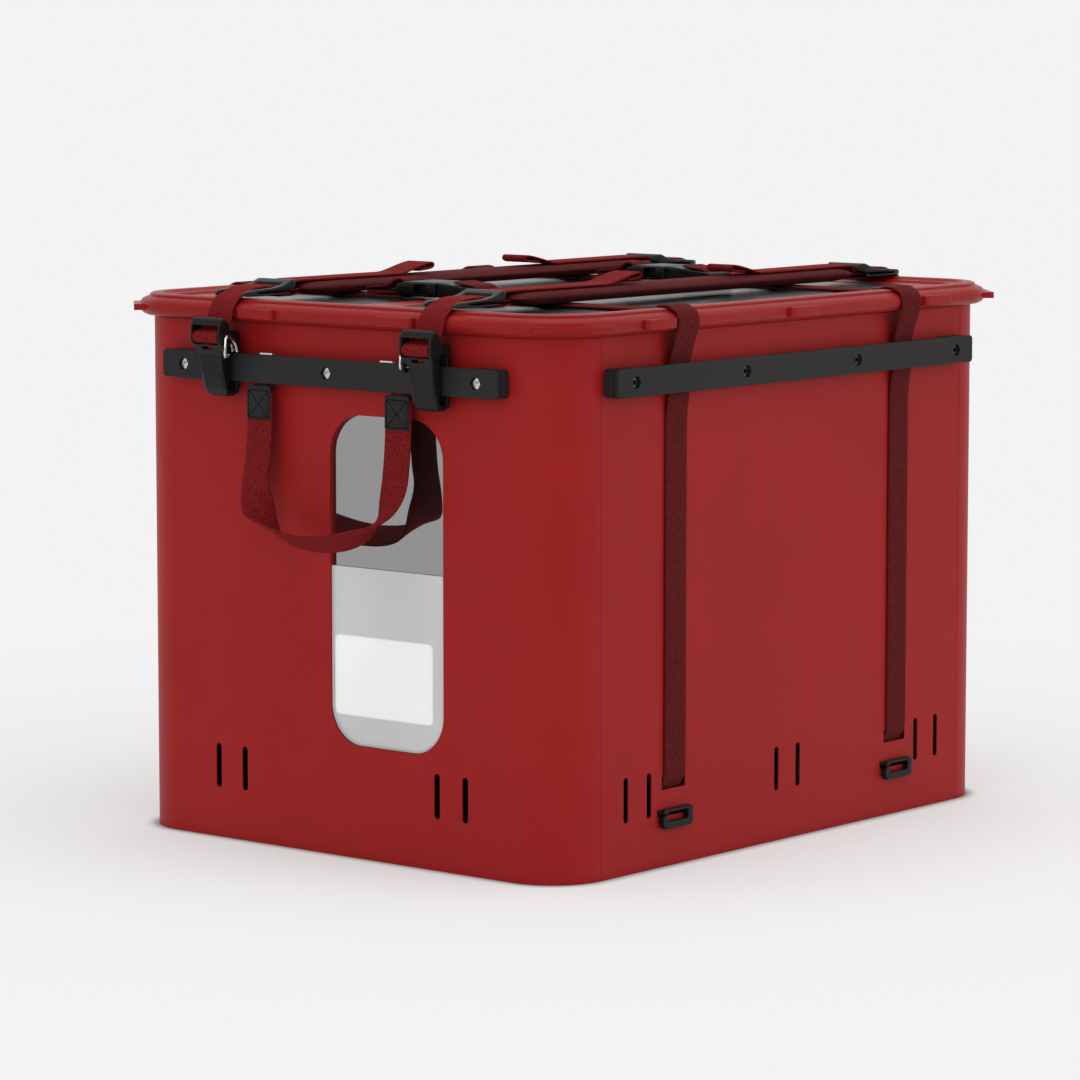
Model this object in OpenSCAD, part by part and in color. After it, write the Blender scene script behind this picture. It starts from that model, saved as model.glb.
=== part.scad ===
// Attached lid tote: soft-cornered storage box with a lift-off strapped lid.
// X runs along the long side, Y across, Z up. The origin is the centre of the base.
// The end with the window is at -X. Lengths are in millimetres.

/* [Body] */
// Length of the body, wall to wall
body_len = 490; // [430:1:640]
// Width of the body, wall to wall
body_wid = 387; // [350:1:520]
// Height of the walls
body_h = 357; // [330:1:460]
// Radius of the upright corners
corner_r = 41; // [34:1:46]
// Thickness of the wall panels
wall_t = 3; // [2.4:0.1:4]
// Thickness of the base
floor_t = 4; // [3:0.5:8]
// Open seam between the long panels and the end shells
seam_gap = 0.4; // [0.2:0.1:0.8]

/* [Window] */
// Width of the end window
window_w = 100; // [80:1:120]
// Height of the end window
window_h = 223; // [180:1:226]
// Height of the window's lower edge
window_z = 76.5; // [74:0.5:80]
// Sideways place of the window's centre
window_y = -43; // [-50:1:-20]
// Corner radius of the window
window_r = 27; // [12:1:34]
// Thickness of the clear sheets
pane_t = 1.2; // [0.8:0.1:2]
// Height of the card pocket's mouth
pocket_z = 197; // [180:1:210]
// Card height
card_h = 54; // [40:1:60]

/* [Lash slots] */
// Height of a lash slot
slot_h = 30.5; // [22:0.5:34]
// Width of a lash slot
slot_w = 5; // [4:0.1:6]
// Distance between the two slots of a pair
slot_pitch = 24.6; // [20:0.2:30]
// Height of the slots' centres
slot_z = 50; // [42:1:56]
// Sideways place of the outer slot pairs on the long sides
slot_pair_x = 165.5; // [162:0.5:172]
// Sideways place of the slot pairs on the ends
slot_pair_y = 99.5; // [85:0.5:110]

/* [Rails] */
// Height of a rail
rail_h = 19.3; // [16:0.1:22]
// Thickness of a rail's plate
rail_t = 3; // [2.4:0.1:3.4]
// Distance from the wall to a rail's front face
rail_out = 12.1; // [11.8:0.1:12.6]
// Distance from the wall's top edge down to the rail's centre
rail_drop = 29.8; // [28.5:0.1:31]
// Length of the long rails
long_rail_len = 404; // [396:1:408]
// Length of the end rails
end_rail_len = 300; // [290:1:304]
// Distance of the outer screws from a long rail's end
long_end_screw = 19.5; // [15:0.5:22]
// Sideways place of the inner screws of a long rail
long_inner_screw = 63.5; // [50:0.5:80]
// Distance of the outer screws from an end rail's end
end_end_screw = 19; // [15:0.5:22]
// Screw shank diameter
screw_d = 5; // [4:0.5:6]
// Screw head diameter
screw_head_d = 7; // [6.5:0.1:7.4]

/* [Lid] */
// Overhang of the lid's rolled rim
rim_out = 10.4; // [9.6:0.1:11]
// Height of the lid's rolled rim
rim_h = 13.6; // [12:0.2:15]
// Height of the raised ridge above the rolled rim
ridge_h = 2.2; // [1.4:0.1:3]
// Thickness of the lid's top plate
lid_t = 3; // [2.4:0.1:4]
// Width of the red border round the lid's panes
lid_border = 33; // [28:1:45]
// Width of the bar between the two lid panes
lid_bar = 30; // [20:1:60]
// Clearance between lid and body
lid_gap = 0.3; // [0.2:0.05:0.6]
// Overhang of the lift tabs
tab_out = 15; // [14:0.2:16.5]
// Width of the lift tabs
tab_w = 31; // [24:1:34]

/* [Straps] */
// Width of the webbing
web_w = 22.5; // [18:0.5:23]
// Thickness of the webbing
web_t = 1.6; // [1.2:0.1:2]
// Sideways place of the cross straps
cross_x = 127; // [122:0.5:130]
// Sideways place of the padded straps and the hooks
pad_y = 94.2; // [92:0.2:98]
// Width of a padded strap
pad_w = 44; // [36:1:50]
// Thickness of a padded strap
pad_t = 9.2; // [8.2:0.1:11]
// Length of a padded strap
pad_len = 389; // [350:1:400]
// Length of a slider
slider_len = 52; // [46:1:58]
// Height of the sliders' raised inner end
slider_h = 10; // [8.5:0.1:10.4]
// Height at which the side straps go in behind the skin
keeper_z = 52; // [50:0.5:54]

/* [Buckles] */
// Width of a side-release buckle
buckle_w = 34; // [32:1:40]
// Thickness of a side-release buckle
buckle_t = 10.4; // [9.6:0.2:12]

/* [Hooks and handles] */
// Width of a hook's tongue
hook_w = 20.8; // [18:0.2:22]
// Width of a hook's strap frame
frame_w = 27.4; // [26.6:0.2:29]
// Wire diameter of the gates
gate_d = 1.8; // [1.4:0.1:2]
// Sideways place of the handle ends
handle_y = 62.2; // [61:0.2:64]
// Width of the stitched handle tabs
tab_patch_w = 21.2; // [18:0.2:22]
// Distance the handle hangs below the rail's lower edge
handle_drop = 111; // [90:1:130]
// Diameter of the bar that a handle tab turns on
anchor_d = 2.4; // [2:0.1:2.8]
// Running clearance of a turning pin, on the radius
pin_gap = 0.08; // [0.05:0.01:0.1]

/* [Hidden] */
$fn = 48;
a = body_len / 2;
b = body_wid / 2;
flat_x = a - corner_r;
rail_z = body_h - rail_drop;
rail_top = rail_z + rail_h / 2;
rail_bot = rail_z - rail_h / 2;
rail_back = rail_out - rail_t;
hole_gap = 0.2;
touch = 0.3;
// tray and collar
tray_in = 8;
tray_t = 2;
collar_t = 5;
collar_h = 42;
pane_lap = 4;
tray_h = window_z - pane_lap - 1;
// lid levels
lid_z = body_h + lid_gap;
rim_top = lid_z + rim_h;
ridge_top = rim_top + ridge_h;
plate_top = rim_top - 1.3;
plate_z = plate_top - lid_t;
shelf_top = plate_top + 1.6;
ledge_w = 4;
ledge_t = 1;
// strap levels on the lid
web_on = plate_top + web_t / 2 + touch;
pad_z = plate_top + web_t + 2 * touch + 0.5;
pad_top = pad_z + pad_t;
slider_z = ridge_top + 1.2;
pad_gap = 3.5;
slider_in = pad_len / 2 + pad_gap;
slider_out = slider_in + slider_len;
buckle_z = plate_top + web_t + 2 * touch;
buckle_top = buckle_z + buckle_t;
buckle_end = 40;
buckle_face = 2;
buckle_tail = -37;

// ---- helpers ----
function unit(v) = v / norm(v);
function left_of(v) = [-v[1], v[0]];
function seg_n(p, i) = left_of(unit(p[i + 1] - p[i]));
function corner_n(p, i) =
  i == 0 ? seg_n(p, 0) :
  i == len(p) - 1 ? seg_n(p, len(p) - 2) :
  let (m = unit(seg_n(p, i - 1) + seg_n(p, i))) m / (m * seg_n(p, i));
// outline of a strap of thickness t that follows the points p
function band(p, t) = concat(
  [for (i = [0 : len(p) - 1]) p[i] + corner_n(p, i) * t / 2],
  [for (i = [len(p) - 1 : -1 : 0]) p[i] - corner_n(p, i) * t / 2]);

// rounded rectangle, centred
module rr(l, w, r, h) {
  linear_extrude(h) union() {
    square([l - 2 * r, w], center = true);
    square([l, w - 2 * r], center = true);
    for (x = [-1, 1], y = [-1, 1]) translate([x * (l / 2 - r), y * (w / 2 - r)]) circle(r);
  }
}
// a ring of the body's outline: u0 is outside, u1 inside, both measured outwards from the wall
module outline_ring(u0, u1, h) {
  difference() {
    rr(2 * (a + u0), 2 * (b + u0), corner_r + u0, h);
    translate([0, 0, -1]) rr(2 * (a + u1), 2 * (b + u1), corner_r + u1, h + 2);
  }
}
// sweeps a profile of [outwards, height] points round the body's outline
module sweep_outline(profile) {
  for (s = [-1, 1]) {
    at_end(s) rotate([90, 0, 0]) linear_extrude(2 * (b - corner_r), center = true) polygon(profile);
    at_side(s) rotate([90, 0, 90]) linear_extrude(2 * (a - corner_r), center = true) polygon(profile);
  }
  for (q = [0 : 3])
    translate([(q == 0 || q == 3 ? 1 : -1) * (a - corner_r), (q < 2 ? 1 : -1) * (b - corner_r), 0])
      rotate([0, 0, 90 * q]) rotate_extrude(angle = 90) translate([corner_r, 0]) polygon(profile);
}
// places work at an end wall: local x runs outwards from the wall
module at_end(s) { translate([s * a, 0, 0]) mirror([s < 0 ? 1 : 0, 0, 0]) children(); }
// places work at a long wall: local y runs outwards from the wall
module at_side(s) { translate([0, s * b, 0]) mirror([0, s < 0 ? 1 : 0, 0]) children(); }
// extrudes an [outwards, height] outline across an end wall, w wide about y = 0
module across(w) { rotate([90, 0, 0]) linear_extrude(w, center = true) children(); }

// ---- body ----
module lash_slots(places) {
  for (c = places, s = [-1, 1]) translate([c + s * slot_pitch / 2, 0, slot_z])
    rotate([90, 0, 0]) linear_extrude(40, center = true) union() {
      square([slot_w, slot_h - slot_w], center = true);
      for (z = [-1, 1]) translate([0, z * (slot_h - slot_w) / 2]) circle(slot_w / 2);
    }
}
strap_slot_w = web_w + 3;
strap_slot_h = 9;
g_slot_w = 35;
g_slot_h = 5;
g_top = 39;
module long_panel(s) {
  color("firebrick") at_side(s) difference() {
    translate([-flat_x + seam_gap, -wall_t, 0]) cube([2 * (flat_x - seam_gap), wall_t, body_h]);
    lash_slots([-slot_pair_x, 0, slot_pair_x]);
    for (x = [-cross_x, cross_x]) {
      translate([x - strap_slot_w / 2, -10, keeper_z]) cube([strap_slot_w, 20, strap_slot_h]);
      translate([x - g_slot_w / 2, -10, g_top - g_slot_h]) cube([g_slot_w, 20, g_slot_h]);
    }
    for (x = long_screws) translate([x, 0, rail_z]) rotate([90, 0, 0])
      cylinder(d = screw_d + 2 * hole_gap, h = 40, center = true);
  }
}
module end_shell(s, window) {
  color("firebrick") difference() {
    intersection() {
      outline_ring(0, -wall_t, body_h);
      translate([s > 0 ? flat_x : -a - 10, -b - 10, -1]) cube([corner_r + 10, 2 * b + 20, body_h + 2]);
    }
    at_end(s) {
      rotate([0, 0, 90]) lash_slots([-slot_pair_y, slot_pair_y]);
      for (y = end_screws) translate([0, y, rail_z]) rotate([0, 90, 0])
        cylinder(d = screw_d + 2 * hole_gap, h = 40, center = true);
    }
    // the long rails' outer screws, where a rail is long enough to reach the corner
    for (x = [long_screws[0], long_screws[3]]) translate([x, 0, rail_z]) rotate([90, 0, 0])
      cylinder(d = screw_d + 2 * hole_gap, h = body_wid + 40, center = true);
    if (window) translate([-a - 10, window_y, window_z + window_h / 2]) rotate([0, 90, 0])
      rr(window_h, window_w, window_r, 20);
  }
}
module front_panel() { long_panel(-1); }
module back_panel() { long_panel(1); }
module window_end_shell() { end_shell(-1, true); }
module plain_end_shell() { end_shell(1, false); }

// black liner: floor plate, low inner wall and a flange that meets the skin
module base_tray() {
  color("dimgray") union() {
    difference() {
      rr(2 * (a - wall_t), 2 * (b - wall_t), corner_r - wall_t, floor_t);
      translate([0, 0, -1]) rr(2 * (a - 34), 2 * (b - 34), corner_r - 14, 2.4);
    }
    translate([0, 0, floor_t - 0.01]) outline_ring(-tray_in, -tray_in - tray_t, tray_h - floor_t);
    translate([0, 0, tray_h - tray_t]) outline_ring(-wall_t, -tray_in - tray_t, tray_t);
  }
}
// stiff collar inside the mouth, which takes the rail screws
module top_collar() {
  color("darkred") difference() {
    translate([0, 0, body_h - collar_h]) outline_ring(-wall_t, -wall_t - collar_t, collar_h);
    for (s = [-1, 1]) {
      at_side(s) for (x = long_screws) translate([x, 0, rail_z]) rotate([90, 0, 0])
        cylinder(d = screw_d + 2 * pin_gap, h = 40, center = true);
      at_end(s) for (y = end_screws) translate([0, y, rail_z]) rotate([0, 90, 0])
        cylinder(d = screw_d + 2 * pin_gap, h = 40, center = true);
    }
    // room for a tall window's pane
    translate([-a + wall_t - 1, window_y, window_z + window_h / 2]) upright(window_w + 2 * pane_lap + 1,
      window_h + 2 * pane_lap + 1, window_r + pane_lap + 0.5, collar_t + 2);
  }
}

// ---- window ----
module upright(w, h, r, t) { rotate([0, 90, 0]) rr(h, w, r, t); }
module window_pane() {
  color("silver") translate([-a + wall_t, window_y, window_z + window_h / 2])
    upright(window_w + 2 * pane_lap, window_h + 2 * pane_lap, window_r + pane_lap, pane_t);
}
// the card pocket is a dished sheet on the pane's outer face, open at the top
pocket_out = 1;
pocket_t = 0.8;
pocket_rim = 1.8;
card_t = 0.4;
module card_pocket() {
  color("gainsboro") translate([-a, window_y, window_z + window_h / 2]) intersection() {
    difference() {
      translate([pocket_out, 0, 0]) upright(window_w - 2 * touch, window_h - 2 * touch,
        window_r - touch, wall_t - pocket_out);
      translate([pocket_out + pocket_t, 0, 0]) upright(window_w - 2 * pocket_rim,
        window_h - 2 * pocket_rim, window_r - pocket_rim, wall_t);
      translate([pocket_out + pocket_t, -window_w / 2 + pocket_rim, 0])
        cube([wall_t, window_w - 2 * pocket_rim, window_h]);
    }
    translate([-1, -window_w, -window_h]) cube([wall_t + 2, 2 * window_w,
      pocket_z - window_z + window_h / 2]);
  }
}
module plain_card() {
  color("whitesmoke") translate([-a + (wall_t + pocket_out + pocket_t - card_t) / 2, window_y + 4.6,
    window_z + 20 + card_h / 2]) upright(window_w - 13.4, card_h, 4, card_t);
}

// ---- rails ----
long_screws = [-long_rail_len / 2 + long_end_screw, -long_inner_screw, long_inner_screw,
  long_rail_len / 2 - long_end_screw];
end_screws = [-end_rail_len / 2 + end_end_screw, 0, end_rail_len / 2 - end_end_screw];
rail_edge = 1.2;
block_len = 28;
block_h = rail_h - 0.6;
boss_d = 14;
head_deep = 2;
head_h = 3.2;
// local y runs outwards, x along the rail
module rail(length, screws) {
  r = 3;
  color("#2e2e2e") difference() {
    union() {
      intersection() {
        translate([0, 0, rail_z]) rotate([90, 0, 90]) linear_extrude(length, center = true) polygon([
          [rail_back, -rail_h / 2],
          for (q = [-90, -60, -30, 0]) [rail_out - rail_edge * (1 - cos(q)),
            -rail_h / 2 + rail_edge * (1 + sin(q))],
          for (q = [0, 30, 60, 90]) [rail_out - rail_edge * (1 - cos(q)),
            rail_h / 2 - rail_edge * (1 - sin(q))],
          [rail_back, rail_h / 2]]);
        translate([0, rail_out + 1, rail_z]) rotate([90, 0, 0]) rr(length, rail_h, r, rail_t + 2);
      }
      // end blocks, with a groove between block and plate
      for (s = [-1, 1]) translate([s * (length / 2 - block_len / 2 - 0.3), 0, rail_z]) {
        translate([0, rail_back + 0.1, 0]) rotate([90, 0, 0])
          rr(block_len - 1.2, block_h - 1.2, r - 0.6, rail_back);
        translate([0, rail_back - 1.2, 0]) rotate([90, 0, 0]) rr(block_len, block_h, r, rail_back - 1.2);
      }
      for (x = screws) translate([x, rail_back + 0.1, rail_z]) rotate([90, 0, 0])
        cylinder(d = boss_d, h = rail_back + 0.1);
    }
    for (x = screws) translate([x, 0, rail_z]) rotate([90, 0, 0]) {
      cylinder(d = screw_d + 2 * hole_gap, h = 60, center = true);
      translate([0, 0, -rail_out - 1])
        cylinder(d = screw_head_d + 2.1, h = head_deep + head_h + 1, $fn = 6);
    }
  }
}
module front_rail() { at_side(-1) rail(long_rail_len, long_screws); }
module back_rail() { at_side(1) rail(long_rail_len, long_screws); }
module window_end_rail() { at_end(-1) rotate([0, 0, -90]) rail(end_rail_len, end_screws); }
module plain_end_rail() { at_end(1) rotate([0, 0, -90]) rail(end_rail_len, end_screws); }
// local y runs outwards
module screw() {
  seat = rail_out - head_deep - head_h;
  rotate([-90, 0, 0]) difference() {
    union() {
      translate([0, 0, -wall_t - collar_t]) cylinder(d = screw_d, h = seat + wall_t + collar_t + 0.1);
      translate([0, 0, seat]) cylinder(d = screw_head_d, h = head_h);
    }
    translate([0, 0, seat + 1]) cylinder(d = 4.2, h = head_h, $fn = 6);
  }
}
module rail_screws() {
  color("lightgray") for (s = [-1, 1]) {
    at_side(s) for (x = long_screws) translate([x, 0, rail_z]) screw();
    at_end(s) rotate([0, 0, -90]) for (x = end_screws) translate([x, 0, rail_z]) screw();
  }
}

// ---- G-hooks at the foot of the side straps ----
g_w = 32;
g_h = 13;
g_t = 4.2;
g_bar_d = 3;
// plate with a G-shaped opening; two ears hold a bar inside the skin's slot
module g_hook(sx, sy) {
  color("#3a3a3a") translate([sx * cross_x, 0, 0]) at_side(sy) union() {
    translate([0, 0.4 + g_t, g_top]) rotate([90, 0, 0]) linear_extrude(g_t) polygon([
      [-g_w / 2, -2.4], [-g_w / 2 + 2, 0], [g_w / 2 - 1, 0], [g_w / 2, -1], [g_w / 2, -g_h + 2],
      [g_w / 2 - 2, -g_h], [-g_w / 2 + 3, -g_h], [-g_w / 2, -g_h + 3], [-g_w / 2, -4.6],
      [-g_w / 2 + 4.4, -4.4], [-g_w / 2 + 5.4, -5.2], [-g_w / 2 + 5.6, -8.2], [g_w / 2 - 5, -8.2],
      [g_w / 2 - 5, -1.8], [-g_w / 2 + 6, -1.8], [-g_w / 2 + 4.6, -3]]);
    for (x = [-1, 1]) translate([x * (g_w / 2 - 1.1) - 1, -5, g_top - 3.4]) cube([2, 5.5, 3]);
    translate([-g_w / 2 + 0.5, -5, g_top - 1.9]) rotate([0, 90, 0]) cylinder(d = g_bar_d, h = g_w - 1);
  }
}
module g_hook_window_front() { g_hook(-1, -1); }
module g_hook_window_back() { g_hook(-1, 1); }
module g_hook_plain_front() { g_hook(1, -1); }
module g_hook_plain_back() { g_hook(1, 1); }

// ---- hooks that hang the padded straps on the end rails ----
hook_in = rail_back - touch;
hook_leg_t = 3;
hook_front = 23.6;
tongue_back = 15.6;
frame_front = 29.5;
bar_u = 25.5;
bar_z = body_h - 9;
bar_r = 2.4;
hook_low = rail_bot - 10.3;
foot_top = hook_low + 4.4;
frame_top = body_h + 4.2;
tongue_top = rail_top + 2.5;
// the gate stands on the side towards the middle of the tote: one leg outside the ear, one inside
gate_pivot = [22.3, rail_top - 0.5];
gate_tip = [13.7, rail_top + 1.7];
ear_in = hook_w / 2 + gate_d + 0.7;
ear_out = ear_in + 1.4;
gate_in = hook_w / 2 + 0.35 + gate_d / 2;
gate_out = ear_out + touch + gate_d / 2;
nose_z = rail_top + 7.8;
// local y points towards the middle of the tote
module at_hook(sx, sy) {
  translate([0, sy * pad_y, 0]) at_end(sx) mirror([0, sy > 0 ? 1 : 0, 0]) children();
}
// extrudes an [outwards, height] outline across a hook from y0 to y1
module slab(y0, y1) { translate([0, y1, 0]) rotate([90, 0, 0]) linear_extrude(y1 - y0) children(); }
module hook(sx, sy) {
  h = hook_w / 2;
  f = frame_w / 2;
  color("#2a2a2a") at_hook(sx, sy) difference() {
    union() {
      // J-shaped body: tongue, foot, back leg and nose
      intersection() {
        across(hook_w) polygon([
          [tongue_back, tongue_top], [hook_front, tongue_top], [hook_front, rail_z + 6],
          [hook_front - 0.9, rail_z + 0.5], [hook_front - 2.5, rail_bot + 1.5],
          [hook_front - 4.4, rail_bot - 4.4], [hook_front - 7, hook_low + 1.1],
          [hook_front - 8.6, hook_low], [hook_in, hook_low], [hook_in - hook_leg_t, hook_low + 2.4],
          [hook_in - hook_leg_t, nose_z + 5], [hook_in - hook_leg_t + 1.6, nose_z + 6.8],
          [gate_tip[0], nose_z + 6.8], [gate_tip[0] + 1.5, nose_z + 5], [gate_tip[0] + 1.5, nose_z],
          [hook_in + 1.5, nose_z], [hook_in, nose_z - 1.5], [hook_in, foot_top + 0.8],
          [hook_in + 0.8, foot_top], [tongue_back - 0.8, foot_top], [tongue_back + 0.8, foot_top + 1.4],
          [tongue_back + 0.6, rail_bot - 1], [tongue_back, rail_bot + 2]]);
        rotate([90, 0, 90]) linear_extrude(60) polygon([
          [-h, hook_low + 5], [-h + 0.8, hook_low + 2.4], [-h + 3, hook_low + 0.3], [-h + 4.6, hook_low],
          [h - 4.6, hook_low], [h - 3, hook_low + 0.3], [h - 0.8, hook_low + 2.4], [h, hook_low + 5],
          [h, nose_z + 9], [-h, nose_z + 9]]);
      }
      // core rib that lies against the rail
      across(hook_w - 5) translate([rail_out + touch, rail_bot + 2])
        square([tongue_back - rail_out, rail_h - 3]);
      // raised plaque on the tongue
      across(hook_w - 3.4) polygon([[hook_front - 2, rail_z - 3], [hook_front - 1.1, rail_z - 3.4],
        [hook_front - 2, rail_bot + 1.5], [hook_front - 3.9, rail_bot - 4.4],
        [hook_front - 6.3, hook_low + 1.8], [hook_front - 7.6, hook_low + 2.4],
        [hook_front - 6.6, rail_bot - 3], [hook_front - 5, rail_z - 6]]);
      // strap frame above the tongue
      difference() {
        intersection() {
          across(frame_w) polygon([[tongue_back + 2, rail_top - 1], [hook_front - 1, rail_z - 2],
            [hook_front, rail_top - 1], [frame_front - 2.7, rail_top + 4.7],
            [frame_front - 0.4, rail_top + 8], [frame_front, rail_top + 12],
            [frame_front - 0.3, frame_top - 7], [frame_front - 1.9, frame_top - 1.6],
            [frame_front - 3.4, frame_top - 0.2], [frame_front - 5.5, frame_top],
            [frame_front - 8.3, frame_top - 1.4], [frame_front - 10.7, frame_top - 5.8],
            [frame_front - 11.2, rail_top + 13], [frame_front - 10.5, rail_top + 7],
            [frame_front - 10, rail_top + 3]]);
          rotate([90, 0, 90]) linear_extrude(60) polygon([
            [-h, hook_low], [h, hook_low], [h, rail_top - 2], [f, rail_top + 7], [f, frame_top - 3.4],
            [f - 0.9, frame_top - 1], [f - 3, frame_top], [-f + 3, frame_top],
            [-f + 0.9, frame_top - 1], [-f, frame_top - 3.4], [-f, rail_top + 7], [-h, rail_top - 2]]);
        }
        // strap window
        rotate([90, 0, 90]) linear_extrude(60) polygon([
          [-f + 2.6, rail_top + 6.2], [f - 2.6, rail_top + 6.2], [f - 1.9, rail_top + 7],
          [f - 1.9, frame_top - 5.2], [-f + 1.9, frame_top - 5.2], [-f + 1.9, rail_top + 7]]);
        // small opening under the window's sill
        translate([tongue_back - 5, -5.4, tongue_top + 0.3]) cube([40, 10.8, 2]);
      }
      // ear that carries the gate, and the lug that stops it
      slab(ear_in, ear_out) polygon([[20, rail_top + 10], [19.6, rail_top + 1], [20, rail_top - 3.4],
        [21.6, rail_top - 4.8], [24.2, rail_top - 4.4], [25.6, rail_top - 2.4], [26.6, rail_top + 4.4],
        [28, rail_top + 9]]);
      translate([gate_tip[0] - 1.2, h - 2, nose_z]) cube([2.7, ear_out - h + 2, 2.4]);
      translate([bar_u, 0, bar_z]) rotate([90, 0, 0]) cylinder(r = bar_r, h = frame_w - 2, center = true);
    }
    // the inner leg's way, between tongue and ear
    translate([tongue_back - 4, h, rail_top - 6]) cube([12, ear_in - h, 15.4]);
    // hole for the gate's end
    translate([gate_pivot[0], ear_in - 1, gate_pivot[1]]) rotate([-90, 0, 0])
      cylinder(d = gate_d + 2 * pin_gap, h = 6);
  }
}
module hook_window_front() { hook(-1, -1); }
module hook_window_back() { hook(-1, 1); }
module hook_plain_front() { hook(1, -1); }
module hook_plain_back() { hook(1, 1); }

// bent wire of diameter d along the points p, which lie in one upright plane
function wire_ring(p, i, d) = let (
  q = i == 0 ? p[1] - p[0] : i == len(p) - 1 ? p[i] - p[i - 1] :
    unit(p[i + 1] - p[i]) + unit(p[i] - p[i - 1]),
  n = cross(unit(q), [0, 1, 0]))
  [for (k = [0 : 7]) p[i] + (cos(45 * k) * n + sin(45 * k) * [0, 1, 0]) * d / 2];
module wire(p, d) {
  n = len(p);
  sides = [for (i = [0 : n - 2], k = [0 : 7]) let (m = (k + 1) % 8, q = 8 * i) each
    [[q + k, q + m, q + 8 + m], [q + k, q + 8 + m, q + 8 + k]]];
  polyhedron([for (i = [0 : n - 1]) each wire_ring(p, i, d)], concat(sides,
    [[for (k = [7 : -1 : 0]) k]], [[for (k = [0 : 7]) 8 * (n - 1) + k]]));
}
module gate(sx, sy) {
  g = gate_pivot;
  e = gate_tip;
  color("silver") at_hook(sx, sy) union() {
    // the end that turns in the ear, and the crossbar between the legs
    translate([g[0], gate_in, g[1]]) rotate([-90, 0, 0]) cylinder(d = gate_d, h = gate_out - gate_in);
    translate([e[0], gate_in, e[1]]) rotate([-90, 0, 0]) cylinder(d = gate_d, h = gate_out - gate_in);
    wire([[g[0] - 0.3, gate_in, g[1] - 0.5], [g[0] - 0.3, gate_in, g[1] + 2.5],
      [g[0] - 1.3, gate_in, g[1] + 5], [g[0] - 3.2, gate_in, g[1] + 7.2], [g[0] - 6, gate_in, g[1] + 7.4],
      [e[0] + 1.3, gate_in, e[1] + 4], [e[0] + 0.1, gate_in, e[1] - 0.5]], gate_d);
    wire([[g[0] - 0.4, gate_out, g[1] + 0.3], [g[0] + 1.2, gate_out, g[1] - 1.5],
      [g[0] + 2.8, gate_out, g[1] - 1.2], [g[0] + 3.4, gate_out, g[1] + 0.6],
      [g[0] + 2.6, gate_out, g[1] + 10.8], [g[0] + 1.5, gate_out, g[1] + 12.4],
      [g[0] - 0.6, gate_out, g[1] + 12.5], [g[0] - 5.6, gate_out, g[1] + 8.6],
      [e[0] + 1.3, gate_out, e[1] + 4], [e[0] + 0.1, gate_out, e[1] - 0.5]], gate_d);
  }
}
module gate_window_front() { gate(-1, -1); }
module gate_window_back() { gate(-1, 1); }
module gate_plain_front() { gate(1, -1); }
module gate_plain_back() { gate(1, 1); }

// ---- carry handles ----
pivot_u = 8.4;
pivot_z = rail_bot - 3.5;
eye_in = anchor_d / 2 + pin_gap;
eye_out = eye_in + 1.12;
eye_w = 13.6;
anchor_t = 1.5;
anchor_u = rail_back - touch - anchor_t;
ear_y = eye_w / 2 + touch;
ear_t = 1.6;
arm_u = pivot_u - 4;
clip_z = rail_bot + 2.5;
// steel clip that hangs over the rail and carries the handle's bar behind the tab
module anchor(sx, sy) {
  color("silver") at_end(sx) translate([0, sy * handle_y, 0]) union() {
    translate([anchor_u, -sy * 8.2 - 5.5, clip_z]) cube([anchor_t, 11, rail_top + touch + 1 - clip_z]);
    translate([anchor_u, -sy * 8.2 - 5.5, rail_top + touch])
      cube([rail_t + touch + anchor_t - 0.4, 11, 1]);
    translate([arm_u, -ear_y - ear_t - 5, clip_z])
      cube([anchor_u + anchor_t - arm_u, 2 * (ear_y + ear_t + 5), 3]);
    for (s = [-1, 1]) translate([0, s * (ear_y + ear_t / 2), 0]) rotate([90, 0, 0]) {
      linear_extrude(ear_t, center = true) polygon([[arm_u, clip_z + 1], [arm_u, pivot_z - 0.6],
        [arm_u + 0.8, pivot_z - 1.4], [pivot_u, pivot_z - 1.4], [pivot_u, pivot_z + 0.4],
        [arm_u + 1.4, pivot_z + 0.4], [arm_u + 1.4, clip_z + 1]]);
      translate([pivot_u, pivot_z, 0]) cylinder(r = 1.4, h = ear_t, center = true);
    }
    translate([pivot_u, 0, pivot_z]) rotate([90, 0, 0])
      cylinder(d = anchor_d, h = 2 * ear_y + ear_t, center = true);
  }
}
module anchor_window_front() { anchor(-1, -1); }
module anchor_window_back() { anchor(-1, 1); }
module anchor_plain_front() { anchor(1, -1); }
module anchor_plain_back() { anchor(1, 1); }

// stitched tab: an eye round the bar between the clip's ears, and a patch in front of the webbing
patch_h = 21.4;
patch_u = pivot_u + 1.5;
patch_t = 1.1;
module handle_tab(sx, sy) {
  color("#333333") at_end(sx) translate([0, sy * handle_y, 0]) difference() {
    union() {
      translate([pivot_u, 0, pivot_z]) rotate([90, 0, 0]) cylinder(r = eye_out, h = eye_w, center = true);
      translate([patch_u, -tab_patch_w / 2, pivot_z - patch_h]) cube([patch_t, tab_patch_w, patch_h + 1.7]);
    }
    translate([pivot_u, 0, pivot_z]) rotate([90, 0, 0])
      cylinder(r = eye_in, h = tab_patch_w + 2, center = true);
  }
}
module tab_window_front() { handle_tab(-1, -1); }
module tab_window_back() { handle_tab(-1, 1); }
module tab_plain_front() { handle_tab(1, -1); }
module tab_plain_back() { handle_tab(1, 1); }

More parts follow.
